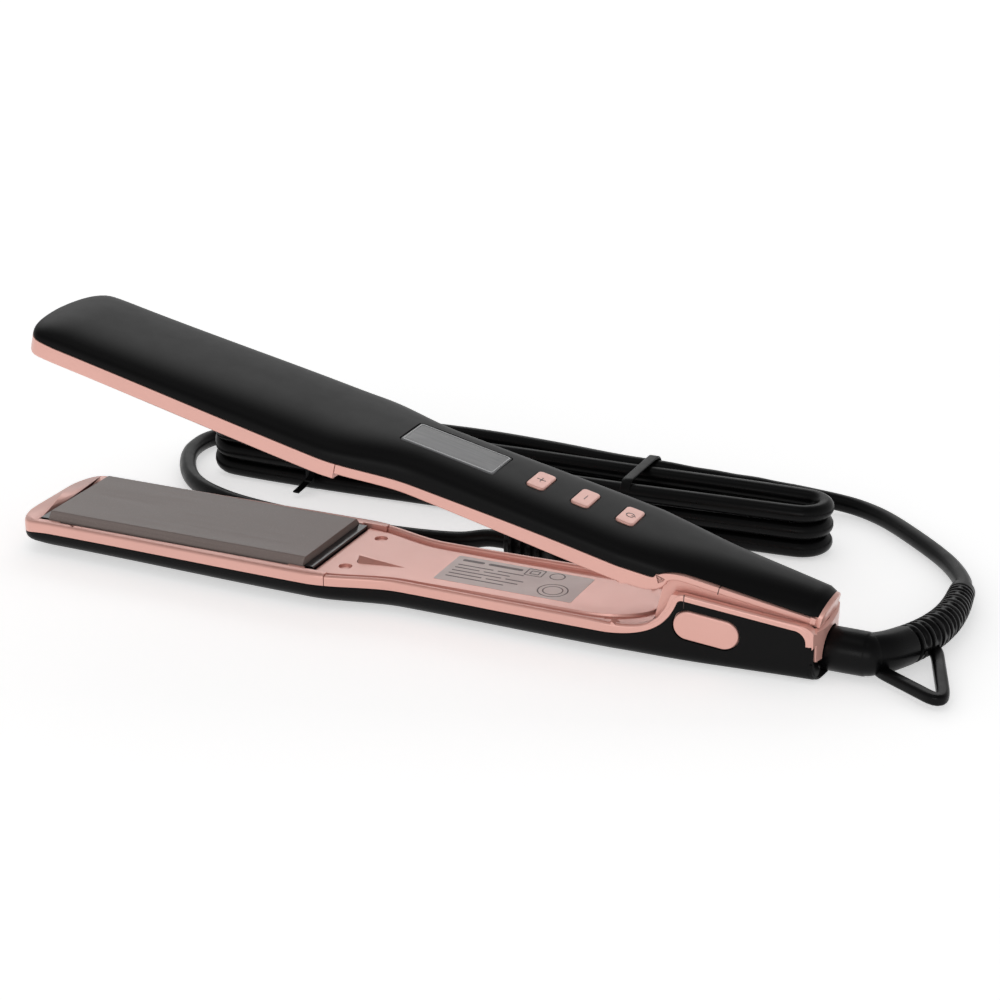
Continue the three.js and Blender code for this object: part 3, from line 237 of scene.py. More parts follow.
def edge_distance(x, upper):
    if upper:
        return mix(UPPER_PARTING, UPPER_PARTING_HANDLE, smoothstep(x, -120, -45)) + nose_bend(x)
    return LOWER_PARTING + nose_bend(x)


def crown_distance(x, upper):
    tip, neck, handle, tail = (13.9, 15.6, 17.5, 19.4) if upper else (14.3, 15.2, 15.3, 15.3)
    front = mix(tip, neck, smoothstep(x, -240, -140))
    straight = mix(mix(front, handle, smoothstep(x, -150, -105)), tail, smoothstep(x, -40, 34))
    edge = edge_distance(x, upper)
    return edge + (straight - edge) * math.sqrt(1 - 0.93 * nose_fraction(x) ** 2)


def crown_power(x, upper):
    handle = mix(2.9, 3.1, smoothstep(x, -150, -100))
    return mix(handle, 2.2 if upper else 4.0, smoothstep(x, -34, 0))


def crown_height(x, y, upper):
    """Distance of the crown from the contact plane at one point of the arm."""
    half = half_width(x, upper)
    edge = edge_distance(x, upper)
    power = crown_power(x, upper)
    lift = max(1 - abs(y / half) ** power, 0) ** (1 / power)
    return edge + (crown_distance(x, upper) - edge) * lift


def lower_edge_path():
    """Side view of the lower parting line: flat, then an S up to the tail, then round to the rear."""
    z = CONTACT_Z - LOWER_PARTING
    flat = [(x, z - nose_bend(x)) for x in np.linspace(NOSE_X, TAIL_START_X, 130)]
    foot = (TAIL_TOP_X, TAIL_RIM_Z - 1.6)
    rise = bezier((TAIL_START_X, z), (-20, z), (-13, z + 4), foot, 30)[1:]
    start, top = TAIL_TOP_X + 2, TAIL_RIM_Z - 0.15
    corner = bezier(foot, (TAIL_TOP_X + 0.3, TAIL_RIM_Z - 0.5), (TAIL_TOP_X + 0.9, TAIL_RIM_Z),
                    (start, top), 8)[1:]
    rim = []
    for x in np.linspace(start, CURL_X, 24)[1:]:
        share = (x - start) / (CURL_X - start)
        rim.append((x, mix(top, TAIL_RIM_Z - TAIL_RIM_DROP, share)))
    return flat, list(map(tuple, rise)), list(map(tuple, corner)), rim


def rim_curl():
    """The rim of the lower tail ends in a curl down to the rear."""
    top = lower_edge_path()[3][-1][1]
    return [(CURL_X + CURL_RADIUS * math.sin(t), top - CURL_RADIUS + CURL_RADIUS * math.cos(t))
            for t in np.linspace(0, math.pi / 2, 14)][1:]


def upper_edge_path():
    """Side view of the upper parting line: flat, an easy rise, the arch and the rear."""
    z = CONTACT_Z + UPPER_PARTING
    handle = CONTACT_Z + UPPER_PARTING_HANDLE
    flat = [(x, z + nose_bend(x)) for x in np.linspace(NOSE_X, -120, 70)]
    ease = bezier((-120, z), (-95, z), (-70, handle), (-45, handle), 30)[1:]
    run = [(x, handle) for x in np.linspace(-43, ARCH_START_X - 2.4, 12)]
    arch = bezier((ARCH_START_X - 2, handle), (ARCH_START_X - 0.4, handle), (ARCH_START_X, handle + 0.4),
                  (ARCH_START_X, handle + 1.5), 10).tolist()
    for t in np.linspace(0.45, math.pi / 2, 20):
        x = ARCH_START_X + ARCH_LENGTH * (1 - math.cos(t))
        arch.append((x, handle + (ARCH_TOP_Z - handle) * math.sin(t)))
    arch_end = ARCH_START_X + ARCH_LENGTH
    rear = []
    for x in np.linspace(arch_end, UPPER_REAR_X, 16)[1:]:
        rear.append((x, mix(ARCH_TOP_Z, ARCH_REAR_Z, (x - arch_end) / (REAR_X - arch_end))))
    return flat, list(map(tuple, ease)) + run, [tuple(p) for p in arch], rear


# -------- mesh helpers

def make_mesh(name, points, faces, angle=35):
    mesh = bpy.data.meshes.new(name)
    mesh.from_pydata([(x * MM, y * MM, z * MM) for x, y, z in points], [], faces)
    mesh.validate()
    mesh.update()
    obj = bpy.data.objects.new(name, mesh)
    bpy.context.scene.collection.objects.link(obj)
    shade(obj, angle)
    return obj


def shade(obj, angle=35):
    mesh = obj.data
    mesh.polygons.foreach_set("use_smooth", [True] * len(mesh.polygons))
    mesh.set_sharp_from_angle(angle=math.radians(angle))
    mesh.update()


def loft(name, rings, angle=35, closed=False, place=None):
    """A closed skin through rings of equal length."""
    count = len(rings[0])
    points = [tuple(p) for ring in rings for p in ring]
    if place:
        points = [place(p) for p in points]
    faces = []
    spans = len(rings) if closed else len(rings) - 1
    for r in range(spans):
        nxt = (r + 1) % len(rings)
        for i in range(count):
            j = (i + 1) % count
            faces.append((r * count + i, r * count + j, nxt * count + j, nxt * count + i))
    if not closed:
        faces.append(tuple(reversed(range(count))))
        last = (len(rings) - 1) * count
        faces.append(tuple(range(last, last + count)))
    obj = make_mesh(name, points, faces, angle)
    outward(obj)
    return obj


def placing(upper):
    """The upper arm's pieces are swung open; the lower arm's stay where they are drawn."""
    return swing if upper else None


def outward(obj):
    """Turns the faces of a closed mesh so that they face out."""
    bm = bmesh.new()
    bm.from_mesh(obj.data)
    bmesh.ops.recalc_face_normals(bm, faces=bm.faces)
    bm.to_mesh(obj.data)
    bm.free()


def strand(name, path, section, closed=False, angle=50):
    """A strand along a path; its section is (across, up) pairs, or a function of the station."""
    rings = []
    across = None
    count = len(path)
    for i in range(count):
        before = path[(i - 1) % count] if closed else path[max(i - 1, 0)]
        after = path[(i + 1) % count] if closed else path[min(i + 1, count - 1)]
        tangent = np.array(after, float) - np.array(before, float)
        tangent /= np.linalg.norm(tangent)
        if across is None:
            across = np.cross((0, 0, 1), tangent)
            if np.linalg.norm(across) < 0.2:
                across = np.array((0.0, 1.0, 0.0))
        across = across - tangent * across.dot(tangent)
        across /= np.linalg.norm(across)
        up = np.cross(tangent, across)
        outline = section(i) if callable(section) else section
        rings.append([tuple(np.array(path[i]) + across * u + up * v) for u, v in outline])
    return loft(name, rings, angle, closed)


def circle(radius, sides):
    return [(radius * math.cos(2 * math.pi * i / sides), radius * math.sin(2 * math.pi * i / sides))
            for i in range(sides)]


def rounded_rectangle(half_x, half_y, radius, steps=6):
    out = []
    for k, (sx, sy) in enumerate([(1, 1), (-1, 1), (-1, -1), (1, -1)]):
        for i in range(steps + 1):
            angle = math.pi / 2 * (k + i / steps)
            out.append((sx * (half_x - radius) + radius * math.cos(angle),
                        sy * (half_y - radius) + radius * math.sin(angle)))
    return out


def cutter_prism(name, outline, z0, z1, place=None):
    rings = [[(x, y, z) for x, y in outline] for z in (z0, z1)]
    return loft(name, rings, place=place)


def cut(obj, cutter):
    modifier = obj.modifiers.new("cut", "BOOLEAN")
    modifier.operation = "DIFFERENCE"
    modifier.solver = "EXACT"
    modifier.object = cutter
    apply_modifiers(obj)
    bpy.data.objects.remove(cutter)


def apply_modifiers(obj):
    graph = bpy.context.evaluated_depsgraph_get()
    mesh = bpy.data.meshes.new_from_object(obj.evaluated_get(graph), depsgraph=graph)
    obj.modifiers.clear()
    obj.data = mesh


# -------- materials

class Nodes:
    """A short way to write a material's nodes."""

    def __init__(self, name):
        self.material = bpy.data.materials.new(name)
        self.material.use_nodes = True
        self.tree = self.material.node_tree
        self.shader = self.tree.nodes["Principled BSDF"]
        self.coord = self.tree.nodes.new("ShaderNodeTexCoord").outputs["Object"]

    def feed(self, node, **inputs):
        """Sets a node's inputs to values, or links them to the outputs of other nodes."""
        for key, value in inputs.items():
            socket = node.inputs[key.replace("_", " ")]
            if isinstance(value, bpy.types.NodeSocket):
                self.tree.links.new(value, socket)
            elif socket.type == "RGBA":
                socket.default_value = (*value, 1)
            else:
                socket.default_value = value
        return node

    def add(self, kind, **inputs):
        return self.feed(self.tree.nodes.new(kind), **inputs)

    def set(self, **inputs):
        self.feed(self.shader, **inputs)

    def noise(self, scale, detail=3.0, stretch=(1, 1, 1), distortion=0.0):
        mapping = self.add("ShaderNodeMapping", Scale=stretch, Vector=self.coord)
        node = self.add("ShaderNodeTexNoise", Scale=scale, Detail=detail, Distortion=distortion,
                        Vector=mapping.outputs["Vector"])
        return node.outputs["Fac"]

    def ramp(self, factor, low, high, start=0.35, end=0.65):
        node = self.add("ShaderNodeMapRange", From_Min=start, From_Max=end, To_Min=low, To_Max=high,
                        Value=factor)
        return node.outputs["Result"]

    def colours(self, factor, first, second):
        node = self.tree.nodes.new("ShaderNodeMix")
        node.data_type = "RGBA"
        return self.feed(node, A=first, B=second, Factor=factor).outputs["Result"]

    def bump(self, height, strength, distance, **normal):
        node = self.add("ShaderNodeBump", Strength=strength, Distance=distance, Height=height, **normal)
        self.set(Normal=node.outputs["Normal"])

    def rounded(self, radius):
        node = self.add("ShaderNodeBevel", Radius=radius * MM)
        node.samples = 4
        return node.outputs["Normal"]


def moulded(name, colour, spread, roughness, grain, strength,
            metallic=0.0, coat=0.0, radius=0.25, specular=0.5, drift=0.05):
    """A painted or moulded surface: slight colour drift, uneven gloss, fine grain and softened edges."""
    n = Nodes(name)
    n.set(Metallic=metallic, Coat_Weight=coat, Coat_Roughness=0.15, Specular_IOR_Level=specular)
    cloud = n.ramp(n.noise(55, 4), 0, 1)
    n.set(Base_Color=n.colours(cloud, colour, tuple(c * (1 + spread) for c in colour)))
    wear = n.noise(160, 5, distortion=0.4)
    n.set(Roughness=n.ramp(wear, roughness - drift, roughness + drift))
    n.bump(n.noise(grain, 2), strength, 0.00005, Normal=n.rounded(radius))
    return n.material


def plate_coating():
    """Ceramic coated plate: satin, with a faint lengthwise grain and tiny pale specks."""
    n = Nodes("coated_plate")
    n.set(Metallic=0.0, Coat_Weight=0.1, Coat_Roughness=0.3, Specular_IOR_Level=0.25)
    streak = n.noise(900, 3, stretch=(0.03, 1, 1))
    base = n.colours(n.ramp(streak, 0, 1), (0.205, 0.168, 0.155), (0.225, 0.186, 0.172))
    speck = n.ramp(n.noise(2600, 2), 0, 1, 0.55, 0.75)
    n.set(Base_Color=n.colours(speck, base, (0.26, 0.22, 0.20)))
    n.set(Roughness=n.ramp(streak, 0.3, 0.4))
    n.bump(streak, 0.08, 0.00003, Normal=n.rounded(0.3))
    return n.material


def brushed(name, colour, roughness, stretch):
    """Bare metal with fine streaks; the stretch is smallest along the streaks."""
    n = Nodes(name)
    n.set(Metallic=1.0)
    streak = n.noise(1500, 3, stretch=stretch)
    n.set(Base_Color=n.colours(n.ramp(streak, 0, 1), colour, tuple(c * 0.8 for c in colour)))
    n.set(Roughness=n.ramp(streak, roughness - 0.08, roughness + 0.1))
    n.bump(streak, 0.15, 0.00004, Normal=n.rounded(0.15))
    return n.material


def window_lens():
    """The clear window over the display: dark, with a painted reflection that makes it silvery at its near
    side and fades towards its far side, with a faint painted streak.
    """
    n = Nodes("clear_lens")
    n.set(Roughness=0.22, Coat_Weight=0.15, Coat_Roughness=0.05, Specular_IOR_Level=0.3)
    # Painted reflection: the base colour goes from silvery at the near side to dark at the far side, with a
    # faint streak mixed in.
    split = n.add("ShaderNodeSeparateXYZ", Vector=n.coord)
    across = n.ramp(split.outputs["Y"], 0, 1, -0.008, 0.008)
    cloud = n.noise(260, 3, stretch=(0.12, 3, 1), distortion=0.5)
    reflection_mix = n.tree.nodes.new("ShaderNodeMath")
    reflection_mix.operation = "MULTIPLY_ADD"
    reflection_mix.inputs[1].default_value = 0.5
    n.tree.links.new(cloud, reflection_mix.inputs[0])
    n.tree.links.new(across, reflection_mix.inputs[2])
    factor = n.ramp(reflection_mix.outputs["Value"], 0, 1, 0.1, 1.3)
    n.set(Base_Color=n.colours(factor, (0.20, 0.20, 0.205), (0.015, 0.015, 0.017)))
    return n.material


def label_paper():
    """Pale foil with a soft sheen."""
    n = Nodes("label_film")
    n.set(Coat_Weight=0.2, Coat_Roughness=0.4)
    n.set(Base_Color=n.colours(n.ramp(n.noise(90, 3), 0, 1), (0.66, 0.63, 0.62), (0.74, 0.715, 0.70)))
    n.set(Roughness=n.ramp(n.noise(400, 3), 0.45, 0.55))
    n.bump(n.noise(3000, 2), 0.05, 0.00002)
    return n.material


# Each moulded look: colour, spread of the colour, roughness, grain scale, grain strength and other settings.
MOULDED = {
    "soft_touch_black": ((0.0020, 0.0019, 0.0021), 0.1, 0.40, 5200, 0.08, {"specular": 0.11, "drift": 0.012}),
    "rose_gold_lacquer": ((0.745, 0.405, 0.345), 0.03, 0.30, 1500, 0.012,
                          {"metallic": 0.35, "coat": 0.25, "radius": 0.12, "drift": 0.02}),
    "heater_white": ((0.78, 0.76, 0.71), 0.05, 0.55, 2500, 0.2, {}),
    "gloss_black": ((0.004, 0.004, 0.0045), 0.3, 0.16, 3000, 0.03, {"coat": 0.2, "specular": 0.4}),
    "silicone": ((0.45, 0.08, 0.05), 0.1, 0.6, 2500, 0.1, {}),
    "wire_sleeve": ((0.28, 0.03, 0.02), 0.3, 0.6, 1800, 0.5, {}),
    "circuit_board": ((0.03, 0.16, 0.07), 0.3, 0.35, 900, 0.1, {}),
    "display_panel": ((0.42, 0.44, 0.43), 0.1, 0.2, 900, 0.02, {}),
    "bearing_plastic": ((0.78, 0.76, 0.70), 0.05, 0.5, 2500, 0.1, {}),
    "cord_black": ((0.0018, 0.0018, 0.002), 0.2, 0.32, 2600, 0.12, {"radius": 0.15, "specular": 0.12}),
    "print_grey": ((0.16, 0.15, 0.15), 0.1, 0.5, 2000, 0.02, {}),
    "mark_white": ((0.62, 0.62, 0.63), 0.05, 0.3, 2000, 0.02, {}),
    "recess": ((0.03, 0.012, 0.010), 0.2, 0.5, 2000, 0.02, {}),
}
# Each brushed look: colour, roughness and the stretch of its streaks.
BRUSHED = {
    "bare_aluminium": ((0.60, 0.60, 0.61), 0.35, (0.05, 1, 1)),
    "steel": ((0.55, 0.55, 0.57), 0.28, (1, 1, 0.05)),
    "brass": ((0.62, 0.44, 0.17), 0.25, (0.05, 1, 1)),
}
MATERIALS = {name: moulded(name, *look[:-1], **look[-1]) for name, look in MOULDED.items()}
MATERIALS.update({name: brushed(name, *look) for name, look in BRUSHED.items()})
MATERIALS.update({"coated_plate": plate_coating(), "clear_lens": window_lens(), "label_film": label_paper()})


def dress(obj, slot, body, *nodes, material=None):
    """Gives a new piece its material (the slot's own, unless another is named) and body, and hides the CAD
    nodes it stands for.
    """
    obj.data.materials.clear()
    obj.data.materials.append(MATERIALS[material or slot])
    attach(obj, body)
    if nodes:
        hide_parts(*nodes)
    return obj


def dress_cad_nodes():
    slots = {row["node"]: row["material_slot"] for row in frame["record"]["subparts"]}
    for name, obj in frame["nodes"].items():
        obj.data.materials.clear()
        obj.data.materials.append(MATERIALS[slots[name]])
        shade(obj, 32)


# -------- shells

def crown_section(x, upper, edge_z, inset, scale=1.0):
    """Outline over the crown from one parting edge to the other, as (y, z) in the closed frame."""
    side = 1 if upper else -1
    half = half_width(x, upper) * scale - inset
    edge = edge_distance(x, upper)
    crown = edge + (crown_distance(x, upper) - edge) * scale - inset
    power = crown_power(x, upper)
    half_out = []
    for angle in np.linspace(0, math.pi / 2, 40):
        y = half * max(math.cos(angle), 0) ** (2 / power)
        d = edge + (crown - edge) * math.sin(angle) ** (2 / power)
        half_out.append((y, CONTACT_Z + side * d))
    if not upper:
        half_out = [(y, max(z, inset)) for y, z in half_out]
    left = half_out if abs(edge_z - half_out[0][1]) < 0.05 else [(half, edge_z)] + half_out
    if upper and edge_z > half_out[0][1] + 0.05:
        left = [p for p in half_out if p[1] > edge_z]
        left = [(interpolate_y(half_out, edge_z), edge_z)] + left
    left = resample(left, CROWN_POINTS // 2)
    right = [(-y, z) for y, z in left[:-1]][::-1]
    return [tuple(p) for p in left] + right


def interpolate_y(profile, z):
    zs = [p[1] for p in profile]
    ys = [p[0] for p in profile]
    return float(np.interp(z, zs, ys))


def rear_bow(x, y, upper):
    """The rear ends are slightly curved in plan: the middle reaches further back than the corners."""
    corner, bow, start, end = (11.0, 1.2, 20, 31) if upper else (14.5, 2.2, 22, 33.4)
    return x + bow * (1 - min(abs(y) / corner, 1) ** 2) * smoothstep(x, start, end)


def shell_rings(path, upper, rear_x, chamfer):
    """Closed rings for a shell: its outer skin and, within, the inner face of its wall."""
    rings = []
    side = 1 if upper else -1
    for x, edge_z in path:
        start_z = edge_z + PARTING_GAP * side
        end = clamp((x - (rear_x - chamfer)) / chamfer, 0, 1)
        outer = crown_section(x, upper, start_z, 0.0, 1 - 0.085 * end)
        x_in = clamp(x, NOSE_X + 2.2, rear_x - 0.9)
        inner = crown_section(x_in, upper, start_z + INNER_LIP * side, WALL)
        skin = [(rear_bow(x, y, upper), y, z) for y, z in outer]
        lining = [(rear_bow(x_in, y, upper), y, z) for y, z in inner]
        rings.append(skin + lining[::-1])
    return rings


def nose_stations(path):
    """Adds close stations near the blunt tip, so that its outline is round."""
    upper = path[0][1] > CONTACT_Z
    side = 1 if upper else -1
    edge = CONTACT_Z + side * (UPPER_PARTING if upper else LOWER_PARTING)
    first = [(NOSE_X + d, edge + side * nose_bend(NOSE_X + d)) for d in NOSE_STEPS]
    return first + [p for p in path if p[0] > NOSE_X + 15]


def upper_shell():
    flat, ease, arch, rear = upper_edge_path()
    path = nose_stations(flat + ease + arch + rear)
    end = UPPER_SHELL_END_X
    tail = [(x, z) for x, z in path if x < end - 2.4]
    last = tail[-1][1]
    tail += [(end - d, last) for d in (2.2, 1.7, 1.2, 0.7, 0.3, 0.0)]
    shell = loft("upper_shell_skin", shell_rings(tail, True, end, 2.2), 32, place=swing)
    for outline in window_and_button_outlines(0.35):
        cut(shell, cutter_prism("hole", outline, 24, 45, place=swing))
    shade(shell, 38)
    dress(shell, "soft_touch_black", "upper_arm", "upper_shell")


def stub_cutter(front_x):
    """The round opening for the cord stub, flattened so that the floor of the shell stays whole."""
    opening = [(y, max(z + STUB_Z, 0.9)) for y, z in circle(STUB_RADIUS + 0.6, 48)]
    return loft("stub_hole", [[(x, y, z) for y, z in opening] for x in (front_x, REAR_X + 5)])


def lower_shell():
    flat, rise, corner, rim = lower_edge_path()
    path = nose_stations(flat + rise + corner + rim)
    path += rim_curl()
    path += [(x, 12.8) for x in (31.45, 32, 32.5, 33.0, LOWER_SHELL_END_X)]
    shell = loft("lower_shell_skin", shell_rings(path, False, LOWER_SHELL_END_X, 0.8), 38)
    for side, _ in SIDES[::-1]:
        rings = [[(x, side * y, z) for x, z in cap_outline(0.45)] for y in (5, 30)]
        cut(shell, loft("cap_hole", rings))
    cut(shell, stub_cutter(STUB_FRONT_X - 0.8))
    shade(shell, 38)
    dress(shell, "soft_touch_black", "lower_arm", "lower_shell")


# -------- rose trim

def rim_profile(height, thickness, start=0.12):
    """Section of a band as (away from the shell, inwards) pairs, with its two free edges rounded."""
    r = min(0.95, height * 0.45, thickness * 0.45)
    angles = [math.pi / 2 * k / 6 for k in range(7)]
    near = [(height - r + r * math.sin(a), r - r * math.cos(a)) for a in angles]
    far = [(height - r + r * math.cos(a), thickness - r + r * math.sin(a)) for a in angles]
    return [(start, 0)] + near + far + [(start, thickness)]


def rim_sweep(name, path, upper, side, height, thickness):
    """A rounded band along a parting line; height(x) is measured away from the shell."""
    rings = []
    direction = -1 if upper else 1
    count = len(path)
    for i, (x, z) in enumerate(path):
        x0, z0 = path[max(i - 1, 0)]
        x1, z1 = path[min(i + 1, count - 1)]
        length = math.hypot(x1 - x0, z1 - z0)
        nx, nz = -(z1 - z0) / length * direction, (x1 - x0) / length * direction
        ring = []
        for n, inset in rim_profile(height(x), thickness(x)):
            px, pz = x + nx * n, z + nz * n
            half = half_width(px, upper)
            ring.append((rear_bow(px, half, upper), side * (half + TRIM_PROUD - inset), pz))
        rings.append(ring)
    return loft(name, rings, 40, place=placing(upper))


def lower_band_height(x):
    return mix(3.6, 2.2, smoothstep(x, -40, -14))


def lower_band_thickness(x):
    return mix(2.3, 3.0, smoothstep(x, -40, -20))


def lower_rim():
    flat, rise, corner, rim = lower_edge_path()
    start = SEAM_X + SEAM_GAP
    path = [(start, CONTACT_Z - LOWER_PARTING)] + [p for p in flat if p[0] > start]
    path += rise + corner + rim + rim_curl() + [(31.4, 13.2), (31.4, 12.85)]
    for side, name in SIDES:
        band = rim_sweep(f"lower_rim_{name}", path, False, side, lower_band_height, lower_band_thickness)
        dress(band, "rose_gold_lacquer", "lower_arm")


def upper_rim():
    flat, ease, arch, rear = upper_edge_path()
    start = SEAM_X + SEAM_GAP
    path = [(start, CONTACT_Z + UPPER_PARTING)] + [p for p in flat if p[0] > start]
    path += ease + arch + [p for p in rear if p[0] < 30.6]
    for side, name in SIDES:
        band = rim_sweep(f"upper_rim_{name}", path, True, side, upper_band_height, lambda x: 2.4)
        dress(band, "rose_gold_lacquer", "upper_arm")


def front_frame(upper):
    """The rose frame round a heating plate, from the tip of the arm to the joint line."""
    arm = "upper" if upper else "lower"
    side = 1 if upper else -1
    stations = nose_stations([(x, 0) for x in np.linspace(NOSE_X + 15.5, SEAM_X - 0.1, 60)])
    rings = []
    for inset, distance in [(0.0, None), (0.0, 3.6), (0.12, 3.15), (0.4, 2.8), (0.9, 2.6)]:
        ring = []
        for x, _ in stations[1:]:
            y = max(half_width(x, upper) + TRIM_PROUD - inset, 0.3)
            d = edge_distance(x, upper) - 0.12 if distance is None else distance + 0.5 * nose_bend(x)
            ring.append((max(x, NOSE_X + inset), y, CONTACT_Z + side * d))
        rings.append(ring + [(x, -y, z) for x, y, z in ring[::-1]])
    piece = loft(f"{arm}_front_frame", rings, 40, place=placing(upper))
    openings = [(PLATE_MIDDLE_X, 53.8, 20.9), (PLATE_MIDDLE_X, 45.0, 21.8)]
    if not upper:
        openings.append((SEAM_X - 3, 6.0, 21.9))
    z0, z1 = sorted((CONTACT_Z + side * 1, CONTACT_Z + side * 12))
    for centre, half_x, half_y in openings:
        outline = [(x + centre, y) for x, y in rounded_rectangle(half_x, half_y, 0.4, 2)]
        cut(piece, cutter_prism("frame_opening", outline, z0, z1, place=placing(upper)))
    shade(piece, 40)
    dress(piece, "rose_gold_lacquer", f"{arm}_arm", f"{arm}_plate_carrier")


def upper_band_height(x):
    before = mix(3.7, 5.3, smoothstep(x, -120, -45))
    return mix(before, 2.4, smoothstep(x, -24, -14))


def plateau_half(x):
    """Half width of the raised middle of the handle cover; it ends in a round tongue before the hinge."""
    run = half_width(x, False) - 5.0 - 1.6 * smoothstep(x, -112, -45)
    t = clamp((x - DECK_TONGUE_X) / DECK_TONGUE, 0, 1)
    return run * math.sqrt(max(1 - t * t, 0.0004))


def deck_section(x):
    """Half outline of the raised middle at x, from its foot to the middle line."""
    half = plateau_half(x)
    drop = 0.25 + 0.75 * smoothstep(x, -128, -100)
    soft = min(mix(0.5, 1.5, smoothstep(x, -120, -60)), half)
    ring = []
    for k in range(9):
        s = math.sin(math.pi / 2 * k / 8)
        ring.append((half + soft * (0.35 - 0.35 * s), DECK_EDGE_Z + (DECK_TOP_Z - DECK_EDGE_Z) * s ** 1.5))
    for share in (0.9, 0.75, 0.5, 0.25, 0.0):
        ring.append((half * share, DECK_TOP_Z + 0.12 * drop * (1 - share * share)))
    return ring


def handle_deck():
    xs = list(np.linspace(DECK_FRONT_X, DECK_TONGUE_X - 2, 60))
    xs += [DECK_TONGUE_X + DECK_TONGUE * math.sin(t) for t in np.linspace(0, 1.55, 30)]
    rings = []
    for x in xs:
        ring = deck_section(x)
        rings.append([(x, y, z) for y, z in ring] + [(x, -y, z) for y, z in ring[-2::-1]])
    deck = loft("handle_deck", rings, 50)
    for y in SCREW_HOLE_YS:
        hole = [[(SCREW_HOLE_X + a, y + b, z) for a, b in circle(2.3, 28)] for z in (9.3, 14)]
        cut(deck, loft("screw_hole", hole))
    shade(deck, 50)
    dress(deck, "rose_gold_lacquer", "lower_arm")


def deck_floor():
    """The floor of the groove round the raised middle, up to the hinge."""
    rings = []
    for x in np.linspace(DECK_FRONT_X, GROOVE_END_X, 60):
        half = half_width(x, False) - 2.6
        near = [(half, 9.3), (half, 10.0), (half - 0.4, 10.24)]
        rings.append([(x, y, z) for y, z in near] + [(x, -y, z) for y, z in near[::-1]])
    dress(loft("deck_floor", rings, 50), "rose_gold_lacquer", "lower_arm")


def plate_skirts():
    """Black carriers that close the gap under each heating plate and float with it."""
    outline = [(x + PLATE_MIDDLE_X, y) for x, y in rounded_rectangle(49.6, 20.0, 0.5, 3)]
    for upper, body in ((False, "lower_plate"), (True, "upper_plate")):
        levels = [2 * CONTACT_Z - z if upper else z for z in (10.3, 11.8)]
        rings = [[(x, y, z) for x, y in outline] for z in levels]
        skirt = loft(f"{body}_skirt", rings, 40, place=placing(upper))
        dress(skirt, "gloss_black", body)


def pointer_wedge():
    """The long wedge that points from the plate to the handle."""
    rings = []
    for t, taper in ((-0.025, 0.7), (0.0, 1.0), (0.5, 0.53), (0.97, 0.08), (1.0, 0.04)):
        x = mix(SEAM_X + 3.5, SEAM_X + 20.6, t)
        half = 3.1 * taper
        height = 1.7 * taper if t >= 0 else 0.3
        section = ((half, 0.0), (half * 0.45, height), (-half * 0.1, height), (-half, 0.0))
        rings.append([(x - 0.3 * y * taper, y - 5.5, DECK_TOP_Z + z) for y, z in section])
    dress(loft("pointer_wedge", rings, 20), "rose_gold_lacquer", "lower_arm")


def label_foil():
    outline = [(x + LABEL_X, y + LABEL_Y) for x, y in rounded_rectangle(*LABEL_HALF, 0.6)]
    levels = (LABEL_Z - 0.3, LABEL_Z, LABEL_Z + 0.06)
    foil = loft("rating_label_foil", [[(x, y, h) for x, y in outline] for h in levels], 30)
    dress(foil, "label_film", "lower_arm", "rating_label")


def label_bars():
    """Plain bars in rows, each row given by its y and the (start, end, half height) of its bars."""
    rows = [(7.4, [(-22, -14, 0.8), (-12.5, 0, 0.8)]), (3.4, [(-22, -9, 0.3), (-7.5, 2, 0.3)]),
            (1.0, [(-22, -13, 0.3), (-11.5, -2, 0.3)]), (-1.5, [(-22, -4, 0.3), (-2.5, 4, 0.3)]),
            (-4.0, [(-22, -10, 0.3), (-8.5, 3, 0.3)]), (-6.5, [(-22, -1, 0.3)])]
    bars = [(y, *bar) for y, row in rows for bar in row]
    for number, (y, x0, x1, thick) in enumerate(bars):
        bar = [(x + (x0 + x1) / 2 + LABEL_X, b + y + LABEL_Y)
               for x, b in rounded_rectangle((x1 - x0) / 2, thick, thick * 0.9, 4)]
        rings = [[(x, b, h) for x, b in bar] for h in (LABEL_Z + 0.05, LABEL_Z + 0.09)]
        piece = loft(f"rating_label_bar_{number}", rings)
        dress(piece, "label_film", "lower_arm", material="print_grey")


def label_shapes():
    """Plain line shapes: one box in another, and rings."""
    shapes = [(4.5, 7.2, rounded_rectangle(3.0, 2.6, 0.4)), (4.5, 7.2, rounded_rectangle(1.5, 1.2, 0.2)),
              (12.5, 7.2, circle(2.5, 28)), (15.5, -3.8, circle(5.0, 40)), (15.5, -3.8, circle(3.3, 36))]
    line = [(u, v * 0.15) for u, v in circle(0.22, 6)]
    for number, (cx, cy, outline) in enumerate(shapes):
        path = [(x + cx + LABEL_X, y + cy + LABEL_Y, LABEL_Z + 0.06) for x, y in outline]
        ring = strand(f"rating_label_ring_{number}", path, line, closed=True)
        dress(ring, "label_film", "lower_arm", material="print_grey")


def label():
    """A pale foil label with plain grey bars and shapes where a real one has its print."""
    label_foil()
    label_bars()
    label_shapes()


def upper_end_plate():
    """The rose end wall behind the rear edge of the upper shell, reaching down into the lower tail."""
    end = UPPER_SHELL_END_X
    outline = crown_section(end, True, ARCH_REAR_Z, 0.0, 0.905)
    edge = outline[0][0]
    low = [(edge, z) for z in np.linspace(25.3, ARCH_REAR_Z - 0.4, 6)]
    outline = low + outline + [(-y, z) for y, z in low[::-1]]
    middle = sum(z for _, z in outline) / len(outline)
    rings = []
    for x, inset in ((end - 1.2, 0.0), (end + 0.9, 0.0), (end + 1.25, 0.15), (end + 1.4, 0.5)):
        ring = []
        for y, z in outline:
            pull = clamp((z - middle) / (ARCH_REAR_Z - middle + 3), 0, 1)
            ring.append((rear_bow(x, y, True), y * (1 - inset / edge), z - inset * pull))
        rings.append(ring)
    plate = loft("upper_end_plate", rings, 40, place=swing)
    dress(plate, "rose_gold_lacquer", "upper_arm")


